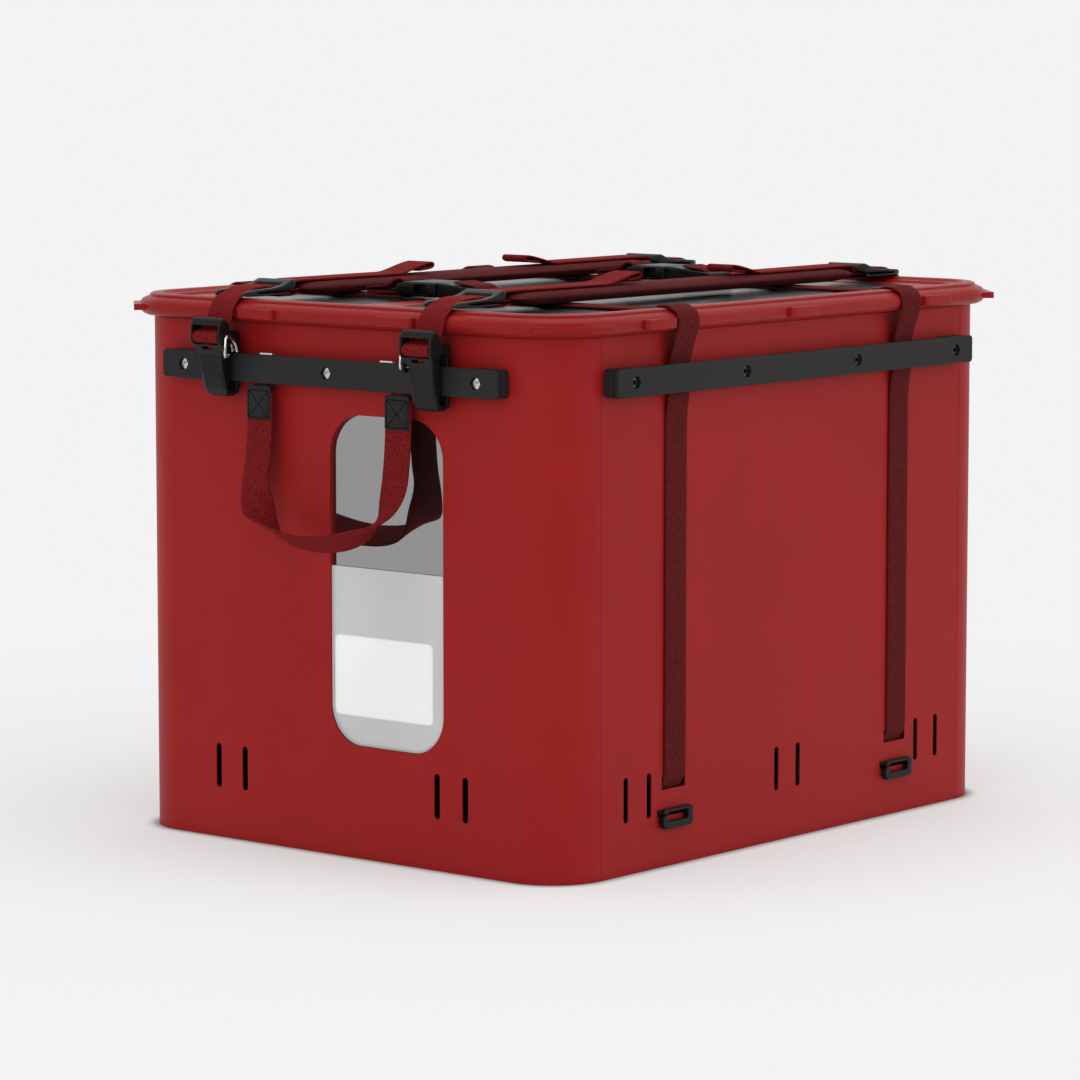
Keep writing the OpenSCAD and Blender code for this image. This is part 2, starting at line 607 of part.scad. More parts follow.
// hanging loop of webbing that turns on edge towards the bottom; t runs 0 to 1 from end to end
loop_n = 44;
loop_top = pivot_z - eye_out - 0.6;
loop_deep = handle_drop - (rail_bot - loop_top) - web_w / 12;
function loop_s(t) = abs(2 * t - 1);
function loop_pt(t) = let (s = loop_s(t), k = 1 - pow(s, 2.6), g = sin(180 * min(1, (1 - s) * 1.6)))
  [pivot_u + 0.4 + 5.1 * sqrt(max(0, 0.94 - s)), (t < 0.5 ? 1 : -1) * handle_y * (pow(s, 0.62) + 0.1 * g),
   loop_top - loop_deep * pow(k, 0.8)];
function loop_dir(t) = unit(loop_pt(min(1, t + 0.01)) - loop_pt(max(0, t - 0.01)));
function loop_turn(t) = 90 * min(1, max(0, (1 - loop_s(t)) * 2.6 - 0.25));
// across the webbing: along Y at the ends, towards the wall at the bottom
function loop_w(t) = let (d = loop_dir(t), th = loop_turn(t),
  w0 = [sin(th), (t < 0.5 ? 1 : -1) * cos(th), 0], w1 = w0 - d * (w0 * d)) unit(w1);
function loop_ring(t) = let (p = loop_pt(t), w = loop_w(t) * (web_w / 2),
  n = cross(loop_dir(t), loop_w(t)) * (web_t / 2)) [p + w + n, p - w + n, p - w - n, p + w - n];
module handle_webbing(sx) {
  pts = [for (i = [0 : loop_n]) each loop_ring(i / loop_n)];
  sides = [for (i = [0 : loop_n - 1], k = [0 : 3]) let (m = (k + 1) % 4, p = 4 * i, q = 4 * i + 4)
    each (k < 2 ? [[p + k, q + k, q + m], [p + k, q + m, p + m]] :
      [[p + k, q + k, p + m], [q + k, q + m, p + m]])];
  color("maroon") at_end(sx) polyhedron(pts, concat(sides, [[0, 1, 2], [0, 2, 3],
    [4 * loop_n + 2, 4 * loop_n + 1, 4 * loop_n], [4 * loop_n + 3, 4 * loop_n + 2, 4 * loop_n]]));
}
module handle_webbing_window() { handle_webbing(-1); }
module handle_webbing_plain() { handle_webbing(1); }

// ---- lid ----
skirt_out = -wall_t - collar_t - 2.2;
skirt_t = 2;
skirt_h = 11;
module lid_shell() {
  prof = [
    [skirt_out - skirt_t - 8, plate_z], [skirt_out - skirt_t, plate_z],
    [skirt_out - skirt_t, body_h - skirt_h],
    [skirt_out, body_h - skirt_h], [skirt_out, lid_z], [1.3, lid_z], [rim_out / 2, lid_z + 0.7],
    [rim_out - 2.3, lid_z + 2], [rim_out - 0.5, lid_z + rim_h * 0.32], [rim_out, lid_z + rim_h * 0.52],
    [rim_out - 0.5, lid_z + rim_h * 0.71], [rim_out - 2.2, lid_z + rim_h * 0.86],
    [rim_out / 2, rim_top - 0.5], [3.3, rim_top], [3.1, rim_top + ridge_h * 0.6], [1.4, ridge_top],
    [-4.5, ridge_top], [-7, shelf_top + 0.2], [-13, shelf_top], [-14.5, plate_top],
    [skirt_out - skirt_t - 8, plate_top]];
  color("brown") union() {
    sweep_outline(prof);
    difference() {
      translate([0, 0, plate_z]) rr(2 * (a - 20), 2 * (b - 20), corner_r - 20, lid_t);
      for (s = [-1, 1]) {
        translate([0, s * pane_y, plate_z + ledge_t]) rr(pane_l, pane_w, pane_r, lid_t);
        translate([0, s * pane_y, plate_z - 1]) rr(pane_l - 2 * ledge_w, pane_w - 2 * ledge_w,
          pane_r - ledge_w, lid_t);
      }
    }
    // spine under the bar between the panes
    translate([-a + 22, -lid_bar / 4, plate_z - 6]) cube([2 * a - 44, lid_bar / 2, 6.1]);
    // lift tabs
    for (s = [-1, 1]) {
      at_side(s) for (x = [-1, 0, 1]) translate([x * tab_x, 0, 0]) lift_tab();
      at_end(s) for (y = [-1, 1]) translate([0, y * tab_y, 0]) rotate([0, 0, -90]) lift_tab();
    }
    for (x = [-1, 1], y = [-1, 1]) translate([x * (a - corner_r), y * (b - corner_r), lid_z + 4.4])
      rotate([0, 0, atan2(y, x)]) translate([corner_r + rim_out - 6, -tab_w / 2 - 3, 0])
        cube([tab_out - 0.7 - rim_out + 6, tab_w + 6, 4.2]);
  }
}
tab_x = cross_x + web_w / 2 + tab_w / 2 + 4;
tab_y = 62.5;
tab_z = lid_z + 3.6;
// local y runs outwards
module lift_tab() {
  r = 3;
  translate([0, 0, tab_z]) linear_extrude(6.5) union() {
    translate([-tab_w / 2, rim_out - 5]) square([tab_w, tab_out - rim_out + 5 - r]);
    translate([-tab_w / 2 + r, rim_out - 5]) square([tab_w - 2 * r, tab_out - rim_out + 5]);
    for (s = [-1, 1]) translate([s * (tab_w / 2 - r), tab_out - r]) circle(r);
  }
}
pane_l = 2 * (a - lid_border);
pane_w = b - lid_border - lid_bar / 2;
pane_y = lid_bar / 2 + pane_w / 2;
pane_r = 26;
module lid_pane(s) {
  color("lightslategray") translate([0, s * pane_y, plate_z + ledge_t])
    rr(pane_l - 0.4, pane_w - 0.4, pane_r - 0.2, lid_t - ledge_t - 0.4);
}
module lid_pane_front() { lid_pane(-1); }
module lid_pane_back() { lid_pane(1); }
module lid_seal() {
  color("#222222") translate([0, 0, body_h - skirt_h + 2])
    outline_ring(skirt_out + 2.2 - lid_gap, skirt_out, 5);
}

// ---- cross straps ----
// local y runs outwards from the long wall; y = -b is the middle of the lid
function leg_path() = [
  [-wall_t - 1.4, g_top - 0.4 + touch], [-wall_t - 1.4, keeper_z + 0.5],
  [web_t / 2 + touch, keeper_z + strap_slot_h - 1.2],
  [web_t / 2 + touch, rail_bot - 17.6], [3.4, rail_bot - 2], [3.9, rail_top + 1.6],
  [rim_out + 1.2, lid_z + 3.7], [rim_out + 1.2, lid_z + 9], [rim_out - 0.9, rim_top - 0.2],
  [rim_out / 2, rim_top + 1.9], [2, ridge_top + 1.2], [-4.6, ridge_top + 1.2], [-8, shelf_top + 1.6],
  [-13.4, shelf_top + 1.3], [-17, web_on]];
// plug side: lies on the lid, goes under the end bar, up and over the plug's bar
plug_path = concat(leg_path(), [[-b - buckle_tail + 8, web_on], [-b - buckle_tail - 0.2, web_on],
  [-b - buckle_tail - 5.4, web_on + 0.4], [-b - buckle_tail - 7, buckle_top - 3.6],
  [-b - buckle_tail - 8.6, buckle_top - 1.5], [-b - buckle_tail - 20, buckle_top - 0.7],
  [-b - buckle_tail - 26, buckle_top + 0.3]]);
// the folded tail ends beside the padded strap
fold_end = pad_y - pad_w / 2 - web_t / 2 - 4 * touch;
// socket side: lies on the lid and turns up round the socket's bar, with a folded tail on top
socket_path = concat(leg_path(), [[-b + buckle_end + 8, web_on], [-b + buckle_end - 3, web_on],
  [-b + buckle_end - 5.6, web_on + 1.6], [-b + buckle_end - 5.6, buckle_top - 1.2],
  [-b + buckle_end - 3, buckle_top + 0.9], [-b + buckle_end + 3, buckle_top + 0.9],
  [-b + buckle_end + 9, buckle_z + 6.4], [-b + fold_end - 1.6, buckle_z + 4.6],
  [-b + fold_end, buckle_z + 3.2], [-b + fold_end - 1.6, buckle_z + 1.8],
  [-b + buckle_end + 5, buckle_z + 1.8]]);
module cross_strap(sx, sy, path) {
  color("maroon") translate([sx * cross_x, 0, 0]) at_side(sy) rotate([90, 0, 90])
    linear_extrude(web_w, center = true) polygon(band(path, web_t));
}
module cross_strap_window_front() { cross_strap(-1, -1, plug_path); }
module cross_strap_window_back() { cross_strap(-1, 1, socket_path); }
module cross_strap_plain_front() { cross_strap(1, -1, plug_path); }
module cross_strap_plain_back() { cross_strap(1, 1, socket_path); }

module buckle_section() {
  w = buckle_w / 2;
  t = buckle_t;
  across(200) polygon([[-w, 3], [-w + 0.7, 1.2], [-w + 2.6, 0], [w - 2.6, 0], [w - 0.7, 1.2], [w, 3],
    [w, t - 3.6], [w - 0.8, t - 1.6], [w - 2.4, t - 0.4], [w - 4.6, t], [-w + 4.6, t],
    [-w + 2.4, t - 0.4], [-w + 0.8, t - 1.6], [-w, t - 3.6]]);
}
cavity_w = buckle_w - 7.4;
cavity_t = buckle_t - 4;
module buckle_socket(sx) {
  l = buckle_end - buckle_face;
  color("#1c1c1c") translate([sx * cross_x, buckle_face, buckle_z]) difference() {
    intersection() {
      linear_extrude(buckle_t) polygon([[-buckle_w / 2 + 1.5, 0], [buckle_w / 2 - 1.5, 0],
        [buckle_w / 2, 3], [buckle_w / 2, l - 6], [buckle_w / 2 - 2.5, l], [-buckle_w / 2 + 2.5, l],
        [-buckle_w / 2, l - 6], [-buckle_w / 2, 3]]);
      buckle_section();
      rotate([90, 0, 90]) linear_extrude(buckle_w + 2, center = true) polygon([[0, 0.6], [1.2, 0],
        [l - 7, 0], [l, 2], [l, 6.4], [l - 4, 8.4], [l - 12, buckle_t], [1.2, buckle_t],
        [0, buckle_t - 0.8]]);
    }
    // mouth for the plug, and the windows for its arms
    translate([-cavity_w / 2, -1, 2]) cube([cavity_w, 24, cavity_t]);
    translate([-buckle_w / 2 - 1, 8, 2]) cube([buckle_w + 2, 11, cavity_t]);
    // slot for the webbing, which leaves the end bar
    translate([-web_w / 2 - 1, l - 9, -1]) cube([web_w + 2, 6.2, buckle_t + 2]);
    // the end bar is low, so the webbing lies over it
    translate([-web_w / 2 - 1, l - 3.6, 5.6]) cube([web_w + 2, 6, 8]);
  }
}
module buckle_socket_window() { buckle_socket(-1); }
module buckle_socket_plain() { buckle_socket(1); }
plug_gap = 0.3;
module buckle_plug(sx) {
  l = buckle_face - touch - buckle_tail;
  c = cavity_w / 2 - plug_gap;
  color("#1c1c1c") translate([sx * cross_x, buckle_tail, buckle_z]) union() {
    difference() {
      intersection() {
        linear_extrude(buckle_t) polygon([[-buckle_w / 2 + 4, 0], [buckle_w / 2 - 4, 0],
          [buckle_w / 2 - 1.5, 4], [buckle_w / 2 - 0.5, l - 8], [buckle_w / 2 - 2, l],
          [-buckle_w / 2 + 2, l], [-buckle_w / 2 + 0.5, l - 8], [-buckle_w / 2 + 1.5, 4]]);
        buckle_section();
        rotate([90, 0, 90]) linear_extrude(buckle_w + 2, center = true) polygon([[0, 2.4], [1.4, 0.6],
          [6, 0], [l - 1.2, 0], [l, 0.6], [l, buckle_t - 0.8], [l - 1.2, buckle_t],
          [l - 8, buckle_t - 0.4], [20, buckle_t - 2], [6, buckle_t - 3.2], [1.4, buckle_t - 3.8],
          [0, buckle_t - 5]]);
      }
      translate([-web_w / 2 - 1, 4, -1]) cube([web_w + 2, 5.6, buckle_t + 2]);
      translate([-web_w / 2 - 1, 13.6, -1]) cube([web_w + 2, 6, buckle_t + 2]);
      // the end bar sits high, the middle bars low
      translate([-web_w / 2 - 1, -1, -1]) cube([web_w + 2, 6, 3]);
    }
    // guide blade and the two sprung arms with their catches
    translate([-3.5, l - 1, 2 + plug_gap]) cube([7, 20, cavity_t - 2 * plug_gap]);
    for (s = [-1, 1]) translate([0, l - 1, 2 + plug_gap]) linear_extrude(cavity_t - 2 * plug_gap) polygon([
      [s * (c - 5), 0], [s * (c - 1), 0], [s * (c - 1), 8], [s * c, 9], [s * c, 18], [s * (c - 2), 20],
      [s * (c - 5), 20]]);
  }
}
module buckle_plug_window() { buckle_plug(-1); }
module buckle_plug_plain() { buckle_plug(1); }

// ---- padded straps and sliders ----
// padded strap: rounded section that thins towards both ends
pad_n = 14;
pad_k = 16;
pad_nose = 12;
function pad_env(x) = sin(90 * min(1, (pad_len / 2 - abs(x)) / pad_nose));
function pad_ring(x) = let (e = pad_env(x), t = 2.4 + (pad_t - 2.4) * e, w = web_w + (pad_w - web_w) * e)
  [for (k = [0 : pad_k - 1]) let (f = 360 * k / pad_k, c = cos(f), s = sin(f))
    [x, sign(c) * pow(abs(c), 0.7) * w / 2, pad_z + t / 2 + sign(s) * pow(abs(s), 0.85) * t / 2]];
pad_xs = let (h = pad_len / 2, e = [0, 0.8, 2.4, 5, 8.4, pad_nose])
  concat([for (i = [0 : 5]) -h + e[i]], [for (i = [5 : -1 : 0]) h - e[i]]);
loop_t = 1;
// sewn loop that goes out of the pad's end and round the slider's lower bar
pad_loop = [
  [pad_len / 2 - 8, pad_z + 2], [pad_len / 2 + 4, slider_z - 1.2], [slider_in + 14.4, slider_z - 1.2],
  [slider_in + 15.8, slider_z - 0.2], [slider_in + 15.8, slider_z + 1.2],
  [slider_in + 14.4, slider_z + 2.2], [pad_len / 2 + 4, slider_z + 2.2], [pad_len / 2 - 8, pad_z + 5.4]];
module pad(sy) {
  n = len(pad_xs);
  pts = [for (x = pad_xs) each pad_ring(x)];
  sides = [for (i = [0 : n - 2], k = [0 : pad_k - 1]) let (m = (k + 1) % pad_k, p = pad_k * i)
    each [[p + k, p + pad_k + m, p + m], [p + k, p + pad_k + k, p + pad_k + m]]];
  color("maroon") translate([0, sy * pad_y, 0]) union() {
    polyhedron(pts, concat(sides,
      [[for (k = [0 : pad_k - 1]) k]], [[for (k = [pad_k - 1 : -1 : 0]) pad_k * (n - 1) + k]]));
    // sewn loops that hold the sliders
    for (s = [0, 1]) mirror([s, 0, 0]) across(web_w - 1) polygon(band(pad_loop, loop_t));
  }
}
module pad_front() { pad(-1); }
module pad_back() { pad(1); }

// side view of a slider: lower plate, upper frame and the raised inner end; local x from the
// middle of the lid outwards
slider_side = let (i = slider_in, o = slider_out, z = slider_z, h = slider_h) [
  [i + 0.6, z + 4.4], [i, z + 5.6], [i, z + 7.4], [i + 1.2, z + h - 1], [i + 3.4, z + h - 0.1],
  [i + 6, z + h], [i + 9.6, z + h - 1.4], [i + 15, z + h - 3.4], [i + 24, z + h - 4.8],
  [o - 16, z + h - 5.3], [o - 4, z + h - 6.1], [o - 1, z + 2.8], [o, z + 1.6], [o - 0.8, z + 0.4],
  [o - 3.4, z], [i + 8.6, z], [i + 7.8, z + 0.7], [i + 8.6, z + 1.4], [o - 9, z + 1.4], [o - 7, z + 2],
  [o - 9, z + 2.6], [i + 7, z + 3]];
module slider(sx, sy) {
  o = web_w / 2 + 0.8;
  color("#4a4a4a") translate([0, sy * pad_y, 0]) mirror([sx < 0 ? 1 : 0, 0, 0]) union() {
    // outer bar
    translate([slider_out - 20, -o - 1, slider_z]) cube([6.6, 2 * o + 2, 3.6]);
    difference() {
      intersection() {
        across(40) polygon(slider_side);
        linear_extrude(slider_z + 20) polygon([[slider_in, -12.6], [slider_in + 1.4, -14.6],
          [slider_in + 5, -16.2], [slider_out - 18, -17.4], [slider_out - 6, -16.4],
          [slider_out, -13.6], [slider_out, 13.6], [slider_out - 6, 16.4], [slider_out - 18, 17.4],
          [slider_in + 5, 16.2], [slider_in + 1.4, 14.6], [slider_in, 12.6]]);
      }
      // slot beside the raised end, opening between the bars, and the gap under both
      translate([slider_in + 11, -o, slider_z + 2.2]) cube([5, 2 * o, 20]);
      translate([slider_in + 23, -o, slider_z - 1]) cube([60, 2 * o, 20]);
      translate([slider_in + 14, -o, slider_z - 1]) cube([slider_len - 34, 2 * o, 4]);
      // the webbing lies low over the middle bar, and passes under the raised end
      translate([slider_in + 11, -o, slider_z + 4.6]) cube([60, 2 * o, 20]);
      translate([slider_in - 1, -o, slider_z + 1.6]) cube([13, 2 * o, 3.6]);
    }
  }
}
module slider_window_front() { slider(-1, -1); }
module slider_window_back() { slider(-1, 1); }
module slider_plain_front() { slider(1, -1); }
module slider_plain_back() { slider(1, 1); }

// ---- webbing from hook to slider, with its tail on the padded strap ----
// local x from the middle of the lid outwards; it turns back where a slider reaches past the rim
hook_web_path = let (i = slider_in, o = slider_out, z = slider_z, p = pad_top + web_t / 2 + touch,
  back = max(0, o - a - 9.8)) [
  [a + bar_u - 2, bar_z + bar_r + touch + web_t / 2 - 0.5], [a + bar_u - 5, bar_z + 5.2],
  [a + 15, body_h + 0.8], [a + 13.9, body_h + 4.5], [a + 11.9 + 0.15 * back, lid_z + 10.2],
  [a + 8.4 + 0.5 * back, rim_top + 1.4], [max(a + 3.6, o - 1.4 - 0.3 * back), ridge_top + 1.7],
  [o - 7, z + 2.6], [o - 12, z + 4.7], [o - 19, z + 5.6], [i + 15, z + 5.9], [i + 13, z + 5],
  [i + 11.6, z + 3.7], [i + 10, z + 3.7], [i + 0.6, z + 3.7], [i - 1.4, z + 4.9],
  [i - 2.2, z + 7.4], [i - 4, p], [i - 8, p + 0.2], [70, p], [48, p + 4.2], [42, p + 4.4],
  [40.6, p + 3], [42, p + 1.7], [52, p + 1.6]];
module hook_webbing(sx, sy) {
  color("maroon") translate([0, sy * pad_y, 0]) mirror([sx < 0 ? 1 : 0, 0, 0]) union() {
    across(web_w) polygon(band(hook_web_path, web_t));
    // loop round the hook's bar
    translate([a + bar_u, 0, bar_z]) rotate([90, 0, 0]) difference() {
      cylinder(r = bar_r + touch + web_t, h = web_w, center = true);
      cylinder(r = bar_r + touch, h = web_w + 2, center = true);
    }
  }
}
module hook_webbing_window_front() { hook_webbing(-1, -1); }
module hook_webbing_window_back() { hook_webbing(-1, 1); }
module hook_webbing_plain_front() { hook_webbing(1, -1); }
module hook_webbing_plain_back() { hook_webbing(1, 1); }

// ---- output ----
front_panel();
back_panel();
window_end_shell();
plain_end_shell();
base_tray();
top_collar();
window_pane();
card_pocket();
plain_card();
front_rail();
back_rail();
window_end_rail();
plain_end_rail();
rail_screws();
g_hook_window_front();
g_hook_window_back();
g_hook_plain_front();
g_hook_plain_back();
hook_window_front();
hook_window_back();
hook_plain_front();
hook_plain_back();
gate_window_front();
gate_window_back();
gate_plain_front();
gate_plain_back();
anchor_window_front();
anchor_window_back();
anchor_plain_front();
anchor_plain_back();
handle_webbing_window();
handle_webbing_plain();
tab_window_front();
tab_window_back();
tab_plain_front();
tab_plain_back();
lid_shell();
lid_pane_front();
lid_pane_back();
lid_seal();
cross_strap_window_front();
cross_strap_window_back();
cross_strap_plain_front();
cross_strap_plain_back();
buckle_socket_window();
buckle_socket_plain();
buckle_plug_window();
buckle_plug_plain();
pad_front();
pad_back();
slider_window_front();
slider_window_back();
slider_plain_front();
slider_plain_back();
hook_webbing_window_front();
hook_webbing_window_back();
hook_webbing_plain_front();
hook_webbing_plain_back();
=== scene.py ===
import math
import bmesh
import bpy
from mathutils import Matrix, Vector
from mathutils.geometry import interpolate_bezier


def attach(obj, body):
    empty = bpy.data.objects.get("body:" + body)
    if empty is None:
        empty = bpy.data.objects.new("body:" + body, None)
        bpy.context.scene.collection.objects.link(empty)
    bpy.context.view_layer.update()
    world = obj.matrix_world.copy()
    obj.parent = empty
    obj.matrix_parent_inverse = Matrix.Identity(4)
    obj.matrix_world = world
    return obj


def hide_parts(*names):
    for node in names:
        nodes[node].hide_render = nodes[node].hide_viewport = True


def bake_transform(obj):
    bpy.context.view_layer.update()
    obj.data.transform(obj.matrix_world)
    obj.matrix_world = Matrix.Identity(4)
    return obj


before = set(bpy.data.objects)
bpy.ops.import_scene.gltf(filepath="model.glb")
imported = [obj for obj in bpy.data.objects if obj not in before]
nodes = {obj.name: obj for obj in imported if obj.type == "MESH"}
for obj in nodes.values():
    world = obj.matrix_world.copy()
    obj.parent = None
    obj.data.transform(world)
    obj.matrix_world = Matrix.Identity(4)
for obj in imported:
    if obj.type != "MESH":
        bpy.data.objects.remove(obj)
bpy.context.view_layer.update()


# ---- Box walls ----
# Two long panels and two wrap-round ends, moulded in red plastic with a fine satin grain.
# They are clipped to a stiff collar inside the mouth and to the black tray at the foot.
class Link:
    """One output of a shader node; sums and products of links add Math nodes."""

    def __init__(self, tree, socket):
        self.tree, self.socket = tree, socket

    def __add__(self, other):
        return math_node("ADD", self, other)

    def __radd__(self, other):
        return math_node("ADD", other, self)

    def __sub__(self, other):
        return math_node("SUBTRACT", self, other)

    def __rsub__(self, other):
        return math_node("SUBTRACT", other, self)

    def __mul__(self, other):
        return math_node("MULTIPLY", self, other)

    def __rmul__(self, other):
        return math_node("MULTIPLY", other, self)

    def __truediv__(self, other):
        return math_node("DIVIDE", self, other)

    def __gt__(self, other):
        return math_node("GREATER_THAN", self, other)

    def __lt__(self, other):
        return math_node("LESS_THAN", self, other)


def math_node(operation, *values):
    """A Math node on links and numbers."""
    tree = next(value.tree for value in values if isinstance(value, Link))
    n = tree.nodes.new("ShaderNodeMath")
    n.operation = operation
    for place, value in zip(n.inputs, values):
        if isinstance(value, Link):
            tree.links.new(value.socket, place)
        else:
            place.default_value = value
    return Link(tree, n.outputs[0])


class Nodes:
    """An emptied node tree, with a method that adds a node."""

    def __init__(self, tree):
        self.tree = tree
        tree.nodes.clear()

    def node(self, kind, settings=None, inputs=None, out=0):
        """Adds a node with its settings and the values or links of its sockets."""
        n = self.tree.nodes.new("ShaderNode" + kind)
        for name, value in (settings or {}).items():
            setattr(n, name, value)
        for name, value in (inputs or {}).items():
            if isinstance(value, Link):
                self.tree.links.new(value.socket, n.inputs[name])
            else:
                n.inputs[name].default_value = value
        return Link(self.tree, n.outputs[out])


class Finish(Nodes):
    """A material: a Principled shader and the nodes that feed it."""

    def __init__(self, name, **constants):
        self.material = bpy.data.materials.new(name)
        self.material.use_nodes = True
        super().__init__(self.material.node_tree)
        self.shader = self.tree.nodes.new("ShaderNodeBsdfPrincipled")
        self.output = self.tree.nodes.new("ShaderNodeOutputMaterial")
        self.tree.links.new(self.shader.outputs[0], self.output.inputs[0])
        for name, value in constants.items():
            self.shader.inputs[name.replace("_", " ")].default_value = value

    def feed(self, name, link):
        self.tree.links.new(link.socket, self.shader.inputs[name])

    def noise(self, where, scale, detail=3.0, roughness=0.5):
        return self.node("TexNoise", {}, {"Vector": where, "Scale": scale, "Detail": detail,
                                          "Roughness": roughness}, "Fac")

    def ramp(self, fac, low, high):
        """0 below low, 1 above high, smooth between."""
        return self.node("MapRange", {"interpolation_type": "SMOOTHSTEP"},
                         {"Value": fac, "From Min": low, "From Max": high}, "Result")

    def blend(self, fac, a, b):
        return self.node("Mix", {"data_type": "RGBA"}, {0: fac, 6: a, 7: b}, 2)

    def bump(self, height, strength, distance):
        return self.node("Bump", {}, {"Height": height, "Strength": strength, "Distance": distance})


def paint(names, finish):
    """Gives CAD nodes a finish."""
    for name in names:
        slots = nodes[name].data.materials
        slots.clear()
        slots.append(finish.material)


def moulded(name, deep, light, rough, gloss=0.13, grain=0.00003):
    """Satin moulded plastic: a slow drift of tone, a faint cloudiness and a fine grain."""
    f = Finish(name, Specular_IOR_Level=gloss)
    where = f.node("TexCoord", out="Object")
    drift = f.noise(where, 6.0, 2.0)
    cloud = f.noise(where, 40.0, 4.0)
    fine = f.noise(where, 2600.0, 2.0)
    tone = f.blend(f.ramp(drift * 0.7 + cloud * 0.3, 0.38, 0.62), deep, light)
    f.feed("Base Color", tone)
    f.feed("Roughness", rough + cloud * 0.08 + fine * 0.05)
    f.feed("Normal", f.bump(fine, 0.35, grain))
    return f


def gentle_bends(angle=0.55):
    """A node modifier that welds loose triangles and shades every bend below the angle as a curve."""
    group = bpy.data.node_groups.new("gentle_bends", "GeometryNodeTree")
    for way in ("INPUT", "OUTPUT"):
        group.interface.new_socket("Geometry", in_out=way, socket_type="NodeSocketGeometry")
    new, link = group.nodes.new, group.links.new
    start, end = new("NodeGroupInput"), new("NodeGroupOutput")
    drop, weld = new("GeometryNodeRemoveAttribute"), new("GeometryNodeMergeByDistance")
    curve, crease = new("GeometryNodeSetShadeSmooth"), new("GeometryNodeSetShadeSmooth")
    bend, sharp = new("GeometryNodeInputMeshEdgeAngle"), new("FunctionNodeCompare")
    drop.inputs["Name"].default_value = "custom_normal"
    weld.inputs["Distance"].default_value = 0.00001
    crease.domain = "EDGE"
    crease.inputs["Shade Smooth"].default_value = False
    sharp.operation = "GREATER_THAN"
    sharp.inputs["B"].default_value = angle
    link(start.outputs[0], drop.inputs["Geometry"])
    link(drop.outputs[0], weld.inputs["Geometry"])
    link(weld.outputs[0], curve.inputs["Geometry"])
    link(curve.outputs[0], crease.inputs["Geometry"])
    link(bend.outputs[0], sharp.inputs["A"])
    link(sharp.outputs[0], crease.inputs["Selection"])
    link(crease.outputs[0], end.inputs[0])
    return group


shading = gentle_bends()
for name in nodes:
    nodes[name].modifiers.new("gentle_bends", "NODES").node_group = shading

body_red = moulded("moulded_red", (0.300, 0.0095, 0.0092, 1), (0.322, 0.0115, 0.0110, 1), 0.42)
# The walls of the lash slots are painted near-black below the skin: painted shade, standing in for the dark
# of the tray behind them.
end_wall, side_wall, skin_deep = 0.245, 0.1935, 0.0006
side_slots_reach, end_slots_reach, slots_top = 0.190, 0.150, 0.100
where = body_red.node("TexCoord", out="Object")
from_x, from_y, height = (body_red.node("SeparateXYZ", {}, {"Vector": where}, axis) for axis in "XYZ")
from_x, from_y = math_node("ABSOLUTE", from_x), math_node("ABSOLUTE", from_y)
in_side = (from_y < side_wall - skin_deep) * (from_x < side_slots_reach)
in_end = (from_x < end_wall - skin_deep) * (from_y < end_slots_reach)
slot_painted_shade = math_node("MAXIMUM", in_side, in_end) * (height < slots_top)
skin = Link(body_red.tree, body_red.shader.inputs["Base Color"].links[0].from_socket)
body_red.feed("Base Color", body_red.blend(slot_painted_shade, skin, (0.006, 0.004, 0.004, 1)))
paint(["front_panel", "back_panel", "window_end_shell", "plain_end_shell", "top_collar"], body_red)

# ---- Base tray ----
# One black moulding is the floor and the low inner wall. The walls are clipped round it, and it is
# the dark in the lash slots.
tray_black = moulded("tray_black", (0.010, 0.010, 0.010, 1), (0.016, 0.016, 0.016, 1), 0.55)
paint(["base_tray"], tray_black)


# ---- Window, card pocket and card ----
# A thin clear sheet is welded behind the opening of the window end. A second sheet over its lower
# part is open at the top, and holds a blank card.
def clear_sheet(name, tint, rough, alpha, ior):
    """Glossy clear plastic with faint waves."""
    f = Finish(name, Roughness=rough, IOR=ior)
    where = f.node("TexCoord", out="Object")
    wave = f.noise(where, 9.0, 1.0)
    f.feed("Base Color", f.blend(f.ramp(wave, 0.35, 0.65), tint, tuple(c * 0.93 for c in tint[:3]) + (1,)))
    f.feed("Alpha", alpha + wave * 0.02)
    f.feed("Normal", f.bump(wave, 0.2, 0.0006))
    return f


paint(["window_pane"], clear_sheet("clear_sheet", (0.010, 0.010, 0.010, 1), 0.03, 0.92, 3.7))
paint(["card_pocket"], clear_sheet("pocket_sheet", (0.95, 0.95, 0.95, 1), 0.4, 0.42, 1.25))
# The card glows faintly through its emission: painted light, standing in for the light that reaches it
# inside the pocket.
card_white = Finish("card_white", Specular_IOR_Level=0.3, Emission_Strength=0.31)
where = card_white.node("TexCoord", out="Object")
fibre = card_white.noise(where, 900.0, 3.0)
card_white.feed("Base Color", card_white.blend(fibre, (0.90, 0.90, 0.89, 1), (0.95, 0.95, 0.94, 1)))
card_white.feed("Emission Color", card_white.blend(fibre, (0.95, 0.95, 0.95, 1), (1, 1, 1, 1)))
card_white.feed("Roughness", 0.5 + fibre * 0.1)
card_white.feed("Normal", card_white.bump(fibre, 0.2, 0.00003))
paint(["plain_card"], card_white)

# ---- Rails and their screws ----
# Black lashing rails, a plate on spacer blocks, held by plated socket screws sunk in hex pockets.
# The screws of the long rails are painted darker than those of the end rails: painted shade of their deep
# hex pockets.
rail_black = moulded("rail_black", (0.0185, 0.0185, 0.0185, 1), (0.0225, 0.0225, 0.0225, 1), 0.42, 0.1)
paint(["front_rail", "back_rail", "window_end_rail", "plain_end_rail"], rail_black)


